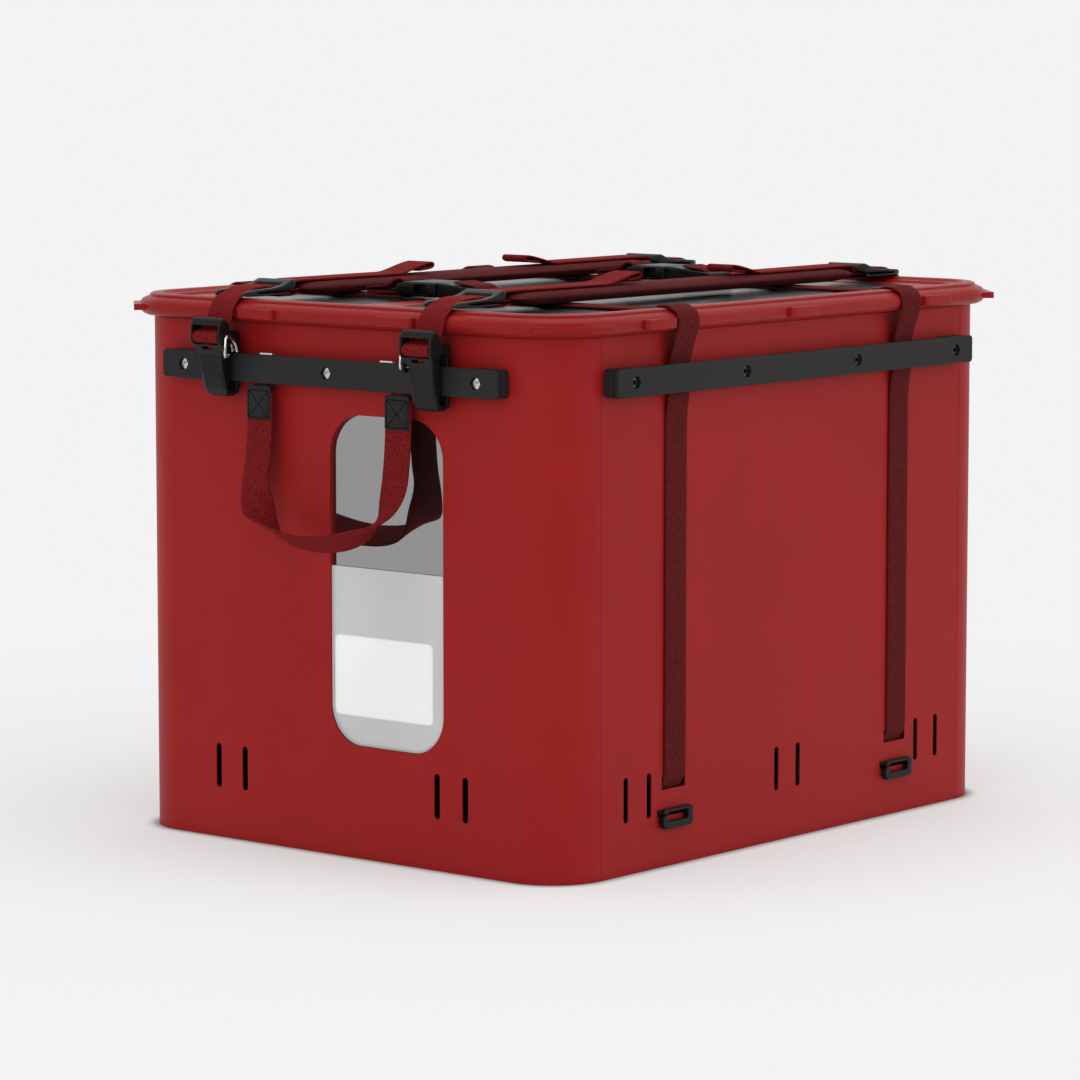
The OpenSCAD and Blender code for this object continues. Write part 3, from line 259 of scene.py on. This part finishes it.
def bright_steel(name, color, rough):
    """Plated steel with fine draw lines and a few dull spots."""
    f = Finish(name, Metallic=1.0)
    where = f.node("TexCoord", out="Object")
    lines = f.noise(where, 1400.0, 2.0)
    dull = f.noise(where, 120.0, 3.0)
    f.feed("Base Color", f.blend(dull, color, tuple(c * 0.8 for c in color[:3]) + (1,)))
    f.feed("Roughness", rough + dull * 0.15)
    f.feed("Normal", f.bump(lines, 0.15, 0.00002))
    return f


long_rails_from = 0.17
steel = bright_steel("bright_steel", (0.70, 0.70, 0.69, 1), 0.16)
screw_steel = Finish("screw_steel", Metallic=1.0)
where = screw_steel.node("TexCoord", out="Object")
spread = screw_steel.node("SeparateXYZ", {}, {"Vector": where}, "Y")
dull = screw_steel.noise(where, 500.0, 2.0)
# Screws on the long sides get a near-black base colour: painted shade of their deep pockets.
long_side_painted_shade = math_node("ABSOLUTE", spread) > long_rails_from
screw_steel.feed("Base Color", screw_steel.blend(long_side_painted_shade, (0.62, 0.62, 0.61, 1), (0.16, 0.16, 0.16, 1)))
screw_steel.feed("Roughness", 0.16 + dull * 0.2)
screw_steel.feed("Normal", screw_steel.bump(dull, 0.3, 0.0001))
paint(["rail_screws"], screw_steel)

# ---- Strap hooks, foot hooks and handle clips ----
# Black moulded hooks with a ladder frame hang on the end rails and close with a sprung wire gate.
# Black G-hooks sit at the foot of the long sides. Bent steel clips over the end rails carry the handles.
def soften(names, passes, voxel=0.0005):
    """Modifiers that even out a moulded node and round all its edges."""
    for name in names:
        even = nodes[name].modifiers.new("even", "REMESH")
        even.mode, even.voxel_size, even.use_smooth_shade = "VOXEL", voxel, True
        round_off = nodes[name].modifiers.new("round_off", "SMOOTH")
        round_off.factor, round_off.iterations = 0.5, passes


corners = [e + "_" + s for e in ("window", "plain") for s in ("front", "back")]
hook_black = moulded("hook_black", (0.0060, 0.0060, 0.0060, 1), (0.0090, 0.0090, 0.0090, 1), 0.28, 0.15)
paint(["hook_" + c for c in corners] + ["g_hook_" + c for c in corners], hook_black)
soften(["hook_" + c for c in corners] + ["g_hook_" + c for c in corners], 4)
paint(["gate_" + c for c in corners], steel)
# The clips are bright steel above a line just over the rail, and near-black below it.
black_below, bright_from = 0.3215, 0.3225
clip_steel = Finish("clip_steel")
where = clip_steel.node("TexCoord", out="Object")
height = clip_steel.node("SeparateXYZ", {}, {"Vector": where}, "Z")
dull = clip_steel.noise(where, 300.0, 3.0)
bright = clip_steel.ramp(height + dull * 0.001, black_below, bright_from)
clip_steel.feed("Base Color", clip_steel.blend(bright, (0.012, 0.012, 0.012, 1), (0.62, 0.62, 0.61, 1)))
clip_steel.feed("Metallic", bright)
clip_steel.feed("Roughness", 0.42 - bright * 0.2 + dull * 0.1)
clip_steel.feed("Normal", clip_steel.bump(dull, 0.2, 0.00003))
paint(["anchor_" + c for c in corners], clip_steel)


# ---- Carry handles ----
# A loop of red webbing hangs at each end, and turns on edge towards its bottom. It is sewn under
# black stitched tabs, which turn on the bars of the steel clips.
def woven(name, deep, light, float_w=0.0011, float_l=0.0022, sheen=0.08, depth=0.00022):
    """Woven webbing: rows of small floats laid like bricks, dark between them, with dull fuzz."""
    f = Finish(name, Specular_IOR_Level=0.08, Sheen_Weight=sheen, Sheen_Roughness=0.45,
               Sheen_Tint=tuple(min(1, c * 3) for c in light[:3]) + (1,))
    uv = f.node("TexCoord", out="UV")
    where = f.node("TexCoord", out="Object")
    across, along = (f.node("SeparateXYZ", {}, {"Vector": uv}, axis) for axis in "XY")
    wander = f.noise(where, 420.0, 2.0) * 0.5
    row = across / float_w + wander
    step = math_node("MODULO", math_node("FLOOR", row), 2.0) * 0.5
    column = along / float_l + step + wander
    ridge = math_node("ABSOLUTE", math_node("SINE", row * math.pi))
    thread = math_node("ABSOLUTE", math_node("SINE", column * math.pi))
    weave = ridge * 0.55 + thread * 0.45
    fuzz = f.ramp(f.noise(where, 1250.0, 2.0, 0.6), 0.35, 0.66)
    patch = f.noise(where, 45.0, 3.0)
    tone = weave * 0.14 + fuzz * 0.74 + patch * 0.12
    f.feed("Base Color", f.blend(tone, deep, light))
    f.feed("Roughness", 0.78 + fuzz * 0.15)
    f.feed("Normal", f.bump(weave * 0.6 + fuzz * 0.5, 0.55, depth))
    return f


def made(name, bm, finish):
    """Turns a bmesh into an object with a finish."""
    mesh = bpy.data.meshes.new(name)
    bm.to_mesh(mesh)
    bm.free()
    mesh.materials.append(finish.material)
    piece = bpy.data.objects.new(name, mesh)
    bpy.context.scene.collection.objects.link(piece)
    return piece


def rounded(points, radius=0.006, step=0.004, corner_steps=6):
    """The path through the points with its corners rounded, as points about a step apart."""
    points = [Vector(p) for p in points]
    out = [points[0]]

    def line_to(p):
        q = out[-1]
        count = max(1, math.ceil((p - q).length / step))
        for i in range(1, count + 1):
            out.append(q.lerp(p, i / count))

    for a, p, b in zip(points, points[1:], points[2:]):
        cut_a = min(radius, (a - p).length * 0.5)
        cut_b = min(radius, (b - p).length * 0.5)
        start, end = p.lerp(a, cut_a / (a - p).length), p.lerp(b, cut_b / (b - p).length)
        if (start - out[-1]).length > 1e-6:
            line_to(start)
        for i in range(1, corner_steps + 1):
            t = i / corner_steps
            out.append(start.lerp(p, t).lerp(p.lerp(end, t), t))
    if (points[-1] - out[-1]).length > 1e-6:
        line_to(points[-1])
    return out


def flat_section(width, thick, flats=8):
    """Outline of flat webbing with round edges, as (across, through, distance round) points."""
    r, half = thick / 2, width / 2 - thick / 2
    ring = [(-half + 2 * half * i / flats, r) for i in range(flats + 1)]
    ring += [(half + r * math.sin(a), r * math.cos(a)) for a in (math.pi / 4, math.pi / 2, 3 * math.pi / 4)]
    ring += [(-x, -z) for x, z in ring]
    ring.append(ring[0])
    far, out = 0.0, []
    for i, (x, z) in enumerate(ring):
        if i:
            far += math.hypot(x - ring[i - 1][0], z - ring[i - 1][1])
        out.append((x, z, far))
    return out


def close_up(bm):
    """Joins the long edges of a grid that was rolled into a tube, and caps both ends."""
    bmesh.ops.remove_doubles(bm, verts=bm.verts, dist=1e-6)
    bmesh.ops.holes_fill(bm, edges=[edge for edge in bm.edges if edge.is_boundary], sides=0)
    bmesh.ops.recalc_face_normals(bm, faces=bm.faces)


def webbing(name, middle, across, section, finish, slot):
    """Closed webbing along its middle points: a grid rolled round the section, with capped ends.
    across gives the direction of the width, one for all points or one for each."""
    if isinstance(across, Vector):
        across = [across] * len(middle)
    n, k = len(middle) - 1, len(section) - 1
    far = [0.0]
    for a, b in zip(middle, middle[1:]):
        far.append(far[-1] + (b - a).length)
    bm = bmesh.new()
    uv = bm.loops.layers.uv.new("UVMap")
    bmesh.ops.create_grid(bm, x_segments=n, y_segments=k, size=0.5)
    place = {}
    for v in bm.verts:
        i, j = round((v.co.x + 0.5) * n), round((v.co.y + 0.5) * k)
        ahead = (middle[min(n, i + 1)] - middle[max(0, i - 1)]).normalized()
        wide = (across[i] - ahead * across[i].dot(ahead)).normalized()
        x, z, round_far = section[j]
        place[v] = (round_far, far[i])
        v.co = middle[i] + wide * x + wide.cross(ahead) * z
    for face in bm.faces:
        face.smooth = True
        for loop in face.loops:
            loop[uv].uv = place[loop.vert]
    close_up(bm)
    return made(name, bm, finish)


ends, sides = ("window", "plain"), ("front", "back")
out_x, out_y = {"window": -1, "plain": 1}, {"front": -1, "back": 1}
web_w, web_t = 0.0225, 0.0016
bar_u = 0.0084
handle_y, loop_top, loop_low, loop_out, loop_thick = 0.0622, 0.31105, 0.2145, 0.0205, 0.0019
loop_tilt, turn_start, turn_share = 0.56, 0.02, 0.86
tab_out, tab_low, tab_high, tab_width, tab_thick = 0.01045, 0.29265, 0.31575, 0.0212, 0.0011
stitch_out, stitch_half, stitch_low, stitch_high = 0.0107, 0.0090, 0.2943, 0.3126
red_webbing = woven("red_webbing", (0.028, 0.0018, 0.0020, 1), (0.285, 0.0150, 0.0160, 1))
strap_webbing = woven("strap_webbing", (0.024, 0.0028, 0.0030, 1), (0.160, 0.0140, 0.0145, 1))
tab_black = woven("tab_black", (0.014, 0.014, 0.014, 1), (0.032, 0.032, 0.032, 1),
                  float_w=0.0006, float_l=0.0012, sheen=0.05, depth=0.0001)
thread_black = Finish("thread_black", Specular_IOR_Level=0.03)
where = thread_black.node("TexCoord", out="Object")
lay = thread_black.noise(where, 3000.0, 2.0)
thread_black.feed("Base Color", thread_black.blend(lay, (0.0010, 0.0010, 0.0010, 1),
                                                   (0.0025, 0.0025, 0.0025, 1)))
thread_black.feed("Roughness", 0.7 + lay * 0.2)
thread_black.feed("Normal", thread_black.bump(lay, 0.4, 0.00005))


def handle_middle(sx, leg_steps=12, sag_steps=40):
    """Middle points of the hanging loop and the direction of its width: flat legs that lean out,
    then a slack bottom that turns on edge with its outer edge up."""
    middle, across = [], []
    for side in (1, -1):
        def at(lean, y, z):
            return sx * (end_wall + bar_u + 0.0004 + lean), side * y, z

        knee = at(0.0032, handle_y, 0.263)
        leg = interpolate_bezier(at(0, handle_y, loop_top), at(0, handle_y, 0.300),
                                 at(0.0007, handle_y, 0.277), knee, leg_steps)
        sag = interpolate_bezier(knee, at(0.0092, handle_y + 0.0022, 0.230),
                                 at(loop_out, 0.039, loop_low), at(loop_out, 0, loop_low), sag_steps)
        half = [(p, 0) for p in leg[:-1]]
        for i, p in enumerate(sag):
            t = min(1, max(0, (i / (sag_steps - 1) - turn_start) / turn_share))
            half.append((p, math.pi / 2 * t * t * (3 - 2 * t)))
        if side < 0:
            half = half[-2::-1]
        for p, turn in half:
            middle.append(Vector(p))
            across.append(Vector((0, side * math.cos(turn), 0)) +
                          Vector((sx * math.cos(loop_tilt), 0, math.sin(loop_tilt))) * math.sin(turn))
    return middle, across


def patch(u, y, z_low, z_high, width, thick):
    """A sewn tab: a plate of stiff webbing with round corners and a border pressed in by the stitching."""
    bm = bmesh.new()
    bmesh.ops.create_cube(bm, size=1)
    sx = 1 if u > 0 else -1
    bmesh.ops.scale(bm, verts=bm.verts, vec=(thick, width, z_high - z_low))
    bmesh.ops.translate(bm, verts=bm.verts, vec=(u, y, (z_low + z_high) / 2))
    through = [edge for edge in bm.edges if abs((edge.verts[0].co - edge.verts[1].co).normalized().x) > 0.9]
    bmesh.ops.bevel(bm, geom=through, offset=0.0017, affect="EDGES", segments=4, profile=0.5, material=-1)
    front = [f for f in bm.faces if f.normal.x * sx > 0.9]
    rim = list(front[0].edges)
    bmesh.ops.bevel(bm, geom=rim, offset=0.0004, affect="EDGES", segments=3, profile=0.5, material=-1)
    front = [max((f for f in bm.faces if f.normal.x * sx > 0.99), key=lambda f: f.calc_area())]
    bmesh.ops.inset_region(bm, faces=front, thickness=0.0006)
    bmesh.ops.inset_region(bm, faces=front, thickness=0.0003, depth=-0.00018)
    bmesh.ops.inset_region(bm, faces=front, thickness=0.0004, depth=0.00012)
    uv = bm.loops.layers.uv.new("UVMap")
    for f in bm.faces:
        f.smooth = True
        for loop in f.loops:
            loop[uv].uv = (loop.vert.co.y, loop.vert.co.z)
    for edge in bm.edges:
        edge.smooth = edge.calc_face_angle(0) < 0.7
    return bm


def sewn(bm, a, b, pitch=0.0021, thread=0.00056):
    """A row of stitches from a to b, each a short bulging thread."""
    a, b = Vector(a), Vector(b)
    count = max(2, round((b - a).length / pitch))
    turn = (b - a).to_track_quat("Z", "X").to_matrix().to_4x4()
    for i in range(count):
        at = a.lerp(b, (i + 0.5) / count)
        size = Matrix.Diagonal((thread, thread, (b - a).length / count * 0.42, 1))
        bmesh.ops.create_uvsphere(bm, u_segments=6, v_segments=4, radius=1,
                                  matrix=Matrix.Translation(at) @ turn @ size)


for e in ends:
    sx = out_x[e]
    body = "handle_" + e
    loop = webbing("loop_" + e, *handle_middle(sx), flat_section(web_w, loop_thick),
                   red_webbing, "red_webbing")
    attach(loop, body)
    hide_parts("handle_webbing_" + e)
    for s in sides:
        y = out_y[s] * handle_y
        tab = made("stitched_tab_" + e + "_" + s,
                   patch(sx * (end_wall + tab_out), y, tab_low, tab_high, tab_width, tab_thick),
                   tab_black)
        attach(tab, body)
        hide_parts("tab_" + e + "_" + s)
        wrap = [(sx * (end_wall + u), y, z) for u, z in
                ((0.0099, 0.3020), (0.0099, 0.3135), (0.0099, 0.3157), (0.0084, 0.3159), (0.0066, 0.3158),
                 (0.0064, 0.3140), (0.0070, 0.3090), (0.0070, 0.3030))]
        path = rounded(wrap, 0.0016, 0.003)
        eye = webbing("tab_eye_" + e + "_" + s, path, Vector((0, sx, 0)),
                      flat_section(0.0136, 0.0010, 4), tab_black, "tab_black")
        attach(eye, body)
        bm = bmesh.new()
        box = [(sx * (end_wall + stitch_out), y + w, z)
               for w, z in ((-stitch_half, stitch_low), (stitch_half, stitch_low),
                            (stitch_half, stitch_high), (-stitch_half, stitch_high))]
        for a, b in ((0, 1), (1, 2), (2, 3), (3, 0), (0, 2), (1, 3)):
            sewn(bm, box[a], box[b])
        for f in bm.faces:
            f.smooth = True
        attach(made("tab_stitches_" + e + "_" + s, bm, thread_black), body)

# ---- Lid ----
# One red moulding with a rolled rim, a raised ridge, lift tabs and a skirt that carries a rubber
# seal. Two smoked panes are set flush into its top.
lid_red = moulded("lid_red", (0.255, 0.0082, 0.0080, 1), (0.272, 0.0098, 0.0095, 1), 0.30, 0.13)
paint(["lid_shell"], lid_red)
smoked_sheet = clear_sheet("smoked_sheet", (0.012, 0.012, 0.012, 1), 0.27, 0.97, 1.3)
paint(["lid_pane_front", "lid_pane_back"], smoked_sheet)
seal_black = moulded("seal_rubber", (0.012, 0.012, 0.012, 1), (0.018, 0.018, 0.018, 1), 0.7)
paint(["lid_seal"], seal_black)

# ---- Cross straps and buckles ----
# Red webbing runs from the foot hooks behind the skin, out through a slot, up the long sides and
# over the lid to black side-release buckles. The socket's strap is folded back in a loose tail.
cross_x = 0.127
up_side = ((-4.4, 38.9), (-4.4, 52.5), (1.1, 59.8), (1.1, 299.95), (3.4, 315.55), (3.9, 338.45),
           (11.6, 361.0), (11.6, 366.3), (9.5, 370.7), (5.2, 372.8), (2, 374.3), (-4.6, 374.3),
           (-8, 372.8), (-13.4, 372.5), (-17, 370.7))
under_pad = (-99.3, 370.7)
to_plug = ((-99.3, 370.7), (-148.5, 370.7), (-156.7, 370.7), (-161.9, 371.1), (-163.5, 378.6),
           (-165.1, 380.7), (-176.5, 381.5), (-182.5, 382.5))
to_socket = ((-145.5, 370.7), (-156.5, 370.7), (-159.1, 372.3), (-159.1, 381.0), (-156.5, 383.1),
             (-150.5, 383.1), (-144.5, 378.2), (-124.9, 376.4), (-123.3, 375.0), (-124.9, 373.6),
             (-148.5, 373.6))


def strap_path(points, x, sy):
    """Rounded path of a cross strap from (outwards, height) points in millimetres."""
    return rounded([(x, sy * (side_wall + u / 1000), z / 1000) for u, z in points], 0.006, 0.005)


for e in ends:
    x = out_x[e] * cross_x
    for s in sides:
        sy = out_y[s]
        points = up_side + ((under_pad,) if s == "front" else to_socket)
        path = strap_path(points, x, sy)
        strap = webbing("side_webbing_" + e + "_" + s, path, Vector((sy, 0, 0)),
                        flat_section(web_w, web_t), strap_webbing, "red_webbing")
        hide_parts("cross_strap_" + e + "_" + s)
        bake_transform(strap)
        if s == "front":
            path = strap_path(to_plug, x, sy)
            tail = webbing("plug_webbing_" + e, path, Vector((sy, 0, 0)),
                           flat_section(web_w, web_t), strap_webbing, "red_webbing")
            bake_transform(tail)
buckle_black = moulded("buckle_black", (0.0030, 0.0030, 0.0030, 1), (0.0048, 0.0048, 0.0048, 1), 0.28, 0.09)
for e in ends:
    paint(["buckle_socket_" + e, "buckle_plug_" + e], buckle_black)
    soften(["buckle_socket_" + e, "buckle_plug_" + e], 4)

# ---- Padded straps and sliders ----
# Two soft padded straps lie over the lid. A sewn loop at each end holds a slider, and webbing from
# the strap hooks goes through the slider and back over the pad, where its end is folded.
hook_y = 0.0942
pad_half, pad_low, pad_high, pad_w, pad_nose = 0.1945, 0.3723, 0.3815, 0.044, 0.012
seam_thick, slack, swell_travel, even_voxel, pressure = 0.0030, 0.0012, 0.0013, 0.0034, 4
pad_fabric = woven("pad_fabric", (0.018, 0.0030, 0.0034, 1), (0.125, 0.0190, 0.0205, 1),
                   float_w=0.0009, float_l=0.0009, sheen=0.15, depth=0.0002)


def pad_shape(y, shrink):
    """Closed tube with round flanks that narrows towards both ends, a little below its full size."""
    along, around = 96, 28
    bm = bmesh.new()
    bmesh.ops.create_grid(bm, x_segments=along, y_segments=around, size=0.5)
    for v in bm.verts:
        far = math.sin(math.pi * v.co.x)
        turn = 2 * math.pi * (v.co.y + 0.5)
        x = (pad_half - shrink) * far
        full = math.sin(math.pi / 2 * min(1, 0.04 + (pad_half - shrink - abs(x)) / pad_nose))
        thick = seam_thick + (pad_high - pad_low - 2 * shrink - seam_thick) * full
        wide = web_w + (pad_w - 2 * shrink - web_w) * full
        c, s = math.cos(turn), math.sin(turn)
        v.co = (x, y + math.copysign(abs(c) ** 0.75, c) * wide / 2,
                (pad_low + pad_high) / 2 + math.copysign(abs(s) ** 0.85, s) * thick / 2)
    close_up(bm)
    return bm


def swell(piece, travel):
    """Fills the pad: an even remesh, then cloth blown up from inside, each point held within travel."""
    bpy.context.view_layer.objects.active = piece
    remesh = piece.modifiers.new("even", "REMESH")
    remesh.mode, remesh.voxel_size = "VOXEL", even_voxel
    bpy.ops.object.modifier_apply(modifier="even")
    rest = [v.co.copy() for v in piece.data.vertices]
    cloth = piece.modifiers.new("swell", "CLOTH")
    cloth.settings.use_pressure = True
    cloth.settings.uniform_pressure_force = pressure
    cloth.settings.effector_weights.gravity = 0
    for frame_number in range(1, 21):
        bpy.context.scene.frame_set(frame_number)
    bpy.ops.object.modifier_apply(modifier="swell")
    bpy.context.scene.frame_set(1)
    for v, was in zip(piece.data.vertices, rest):
        move = v.co - was
        if move.length > travel:
            v.co = was + move * (travel / move.length)
        v.co.z = min(max(v.co.z, pad_low), pad_high)


sling_w, sling_t = 0.0215, 0.0010
round_slider = ((0.1845, 0.3750), (0.1985, 0.3731), (0.2124, 0.3731), (0.2138, 0.3741),
                (0.2138, 0.3755), (0.2124, 0.3765), (0.1985, 0.3765), (0.1845, 0.3772))
for s in sides:
    sy = out_y[s]
    pad = made("padded_strap_" + s, pad_shape(sy * hook_y, slack), pad_fabric)
    for other in bpy.context.selected_objects:
        other.select_set(False)
    swell(pad, swell_travel)
    for f in pad.data.polygons:
        f.use_smooth = True
    soft = pad.modifiers.new("soft", "SUBSURF")
    soft.levels = soft.render_levels = 1
    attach(pad, "lid")
    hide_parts("pad_" + s)
    for e in ends:
        sx = out_x[e]
        path = rounded([(sx * u, sy * hook_y, z) for u, z in round_slider], 0.002, 0.004)
        sling = webbing("slider_loop_" + e + "_" + s, path, Vector((0, sx, 0)),
                        flat_section(sling_w, sling_t), red_webbing, "red_webbing")
        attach(sling, "lid")

# The hook webbing turns round the hook's bar, goes up to the slider and through it, and back over
# the pad. Its points after the bar are (outwards from the tote's middle, height) in millimetres.
hook_bar, ring = (0.2705, 0.348), 0.0035
to_slider = ((268.0, 351.9), (264.9, 353.9), (260.0, 357.9), (258.9, 361.5), (256.9, 367.5),
             (253.4, 372.3), (248.6, 374.8), (243, 376.9), (238, 379), (231, 379.9), (213, 380.2),
             (211, 379.3), (209.6, 378), (198.6, 378), (196.6, 379.2), (195.8, 381.7), (194, 382.6),
             (190, 382.8), (84, 382.6), (62, 387.8), (52, 389.4), (50.4, 387.6), (52, 385.4),
             (66, 384.4))
turns = [math.radians(150 + 9.5 * i) for i in range(31)]
hook_path = [(hook_bar[0] + ring * math.cos(t), hook_bar[1] + ring * math.sin(t)) for t in turns]
hook_path += [(u / 1000, z / 1000) for u, z in to_slider]
for e in ends:
    sx = out_x[e]
    for s in sides:
        y = out_y[s] * hook_y
        path = rounded([(sx * u, y, z) for u, z in hook_path], 0.005, 0.004)
        web = webbing("hook_strap_" + e + "_" + s, path, Vector((0, sx, 0)),
                      flat_section(web_w, web_t), red_webbing, "red_webbing")
        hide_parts("hook_webbing_" + e + "_" + s)
        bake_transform(web)
slider_grey = moulded("slider_grey", (0.015, 0.016, 0.017, 1), (0.021, 0.022, 0.023, 1), 0.28, 0.15)
paint(["slider_" + c for c in corners], slider_grey)
soften(["slider_" + c for c in corners], 10)

# ---- Floor, light and camera ----
# A pale seamless floor with a painted contact shadow round the box's foot, a large soft lamp overhead with
# two side fills, and a long lens.
bpy.context.scene.view_settings.view_transform = "Standard"
pale = (0.896, 0.896, 0.896, 1)
world = bpy.data.worlds.new("studio")
bpy.context.scene.world = world
world.use_nodes = True
room = Nodes(world.node_tree)
camera_ray, glossy_ray, clear_ray = (room.node("LightPath", out="Is " + kind + " Ray")
                                     for kind in ("Camera", "Glossy", "Transmission"))
sees_backdrop = math_node("MAXIMUM", math_node("MAXIMUM", camera_ray, glossy_ray), clear_ray)
daylight = room.node("Background", {}, {"Color": (1, 1, 1, 1), "Strength": 0.62})
backdrop = room.node("Background", {}, {"Color": pale, "Strength": 1.0})
surround = room.node("MixShader", {}, {0: sees_backdrop, 1: daylight, 2: backdrop})
room_output = room.tree.nodes.new("ShaderNodeOutputWorld")
room.tree.links.new(surround.socket, room_output.inputs["Surface"])

bm = bmesh.new()
bmesh.ops.create_grid(bm, x_segments=1, y_segments=1, size=9)
floor_mesh = bpy.data.meshes.new("floor")
bm.to_mesh(floor_mesh)
bm.free()
floor = bpy.data.objects.new("floor", floor_mesh)
bpy.context.scene.collection.objects.link(floor)
floor_pale = Finish("floor_pale", Roughness=0.9, Specular_IOR_Level=0.1)
glow = floor_pale.node("Emission", {}, {"Color": pale, "Strength": 1.0})
where = floor_pale.node("TexCoord", out="Object")
far = floor_pale.node("VectorMath", {"operation": "LENGTH"}, {"Vector": where}, "Value")
beside = [floor_pale.node("SeparateXYZ", {}, {"Vector": where}, axis) for axis in "XY"]
# Round the foot of the box the floor's colour is darkened and its glow held back in a narrow band: a painted
# contact shadow.
foot_corner, foot_half = 0.040, (end_wall, side_wall)
shade_from, shade_to, least_glow = -0.003, 0.011, 0.36
glow_from, glow_to = 0.22, 1.0
past = [math_node("ABSOLUTE", side) - (half - foot_corner) for side, half in zip(beside, foot_half)]
past = [math_node("MAXIMUM", side, 0.0) for side in past]
gap = math_node("SQRT", past[0] * past[0] + past[1] * past[1]) - foot_corner
clear_of_painted_shadow = floor_pale.ramp(gap, shade_from, shade_to)
floor_pale.feed("Base Color", floor_pale.blend(clear_of_painted_shadow, (0.24, 0.24, 0.24, 1), (0.88, 0.88, 0.88, 1)))
lit = Link(floor_pale.tree, floor_pale.shader.outputs[0])
share = clear_of_painted_shadow * (least_glow + (1 - least_glow) * floor_pale.ramp(far, glow_from, glow_to))
sweep = floor_pale.node("MixShader", {}, {0: share, 1: lit, 2: glow})
floor_pale.tree.links.new(sweep.socket, floor_pale.output.inputs[0])
floor_mesh.materials.append(floor_pale.material)


def soft_lamp(name, place, target, size, power):
    """A square soft box."""
    lamp = bpy.data.lights.new(name, "AREA")
    lamp.shape, lamp.size, lamp.energy = "SQUARE", size, power
    stand = bpy.data.objects.new(name, lamp)
    bpy.context.scene.collection.objects.link(stand)
    stand.location = place
    stand.rotation_euler = (Vector(target) - Vector(place)).to_track_quat("-Z", "Y").to_euler()
    return stand


soft_lamp("overhead", (0.0, -0.2, 2.6), (0, 0, 0.2), 2.4, 26)
soft_lamp("left_fill", (-2.6, -0.4, 1.3), (0, 0, 0.2), 1.6, 12)
soft_lamp("right_fill", (0.9, -2.6, 1.3), (0, 0, 0.2), 1.6, 12)

camera_place = Vector((-2.5002, -2.0473, 0.5731))
look = Vector((-0.00713, 0.02161, 0.19138))
lens = bpy.data.cameras.new("camera")
lens.sensor_width, lens.lens = 36.0, 152.4
lens.clip_end = 50
camera = bpy.data.objects.new("camera", lens)
bpy.context.scene.collection.objects.link(camera)
camera.location = camera_place
camera.rotation_euler = (look - camera_place).to_track_quat("-Z", "Y").to_euler()
bpy.context.scene.camera = camera
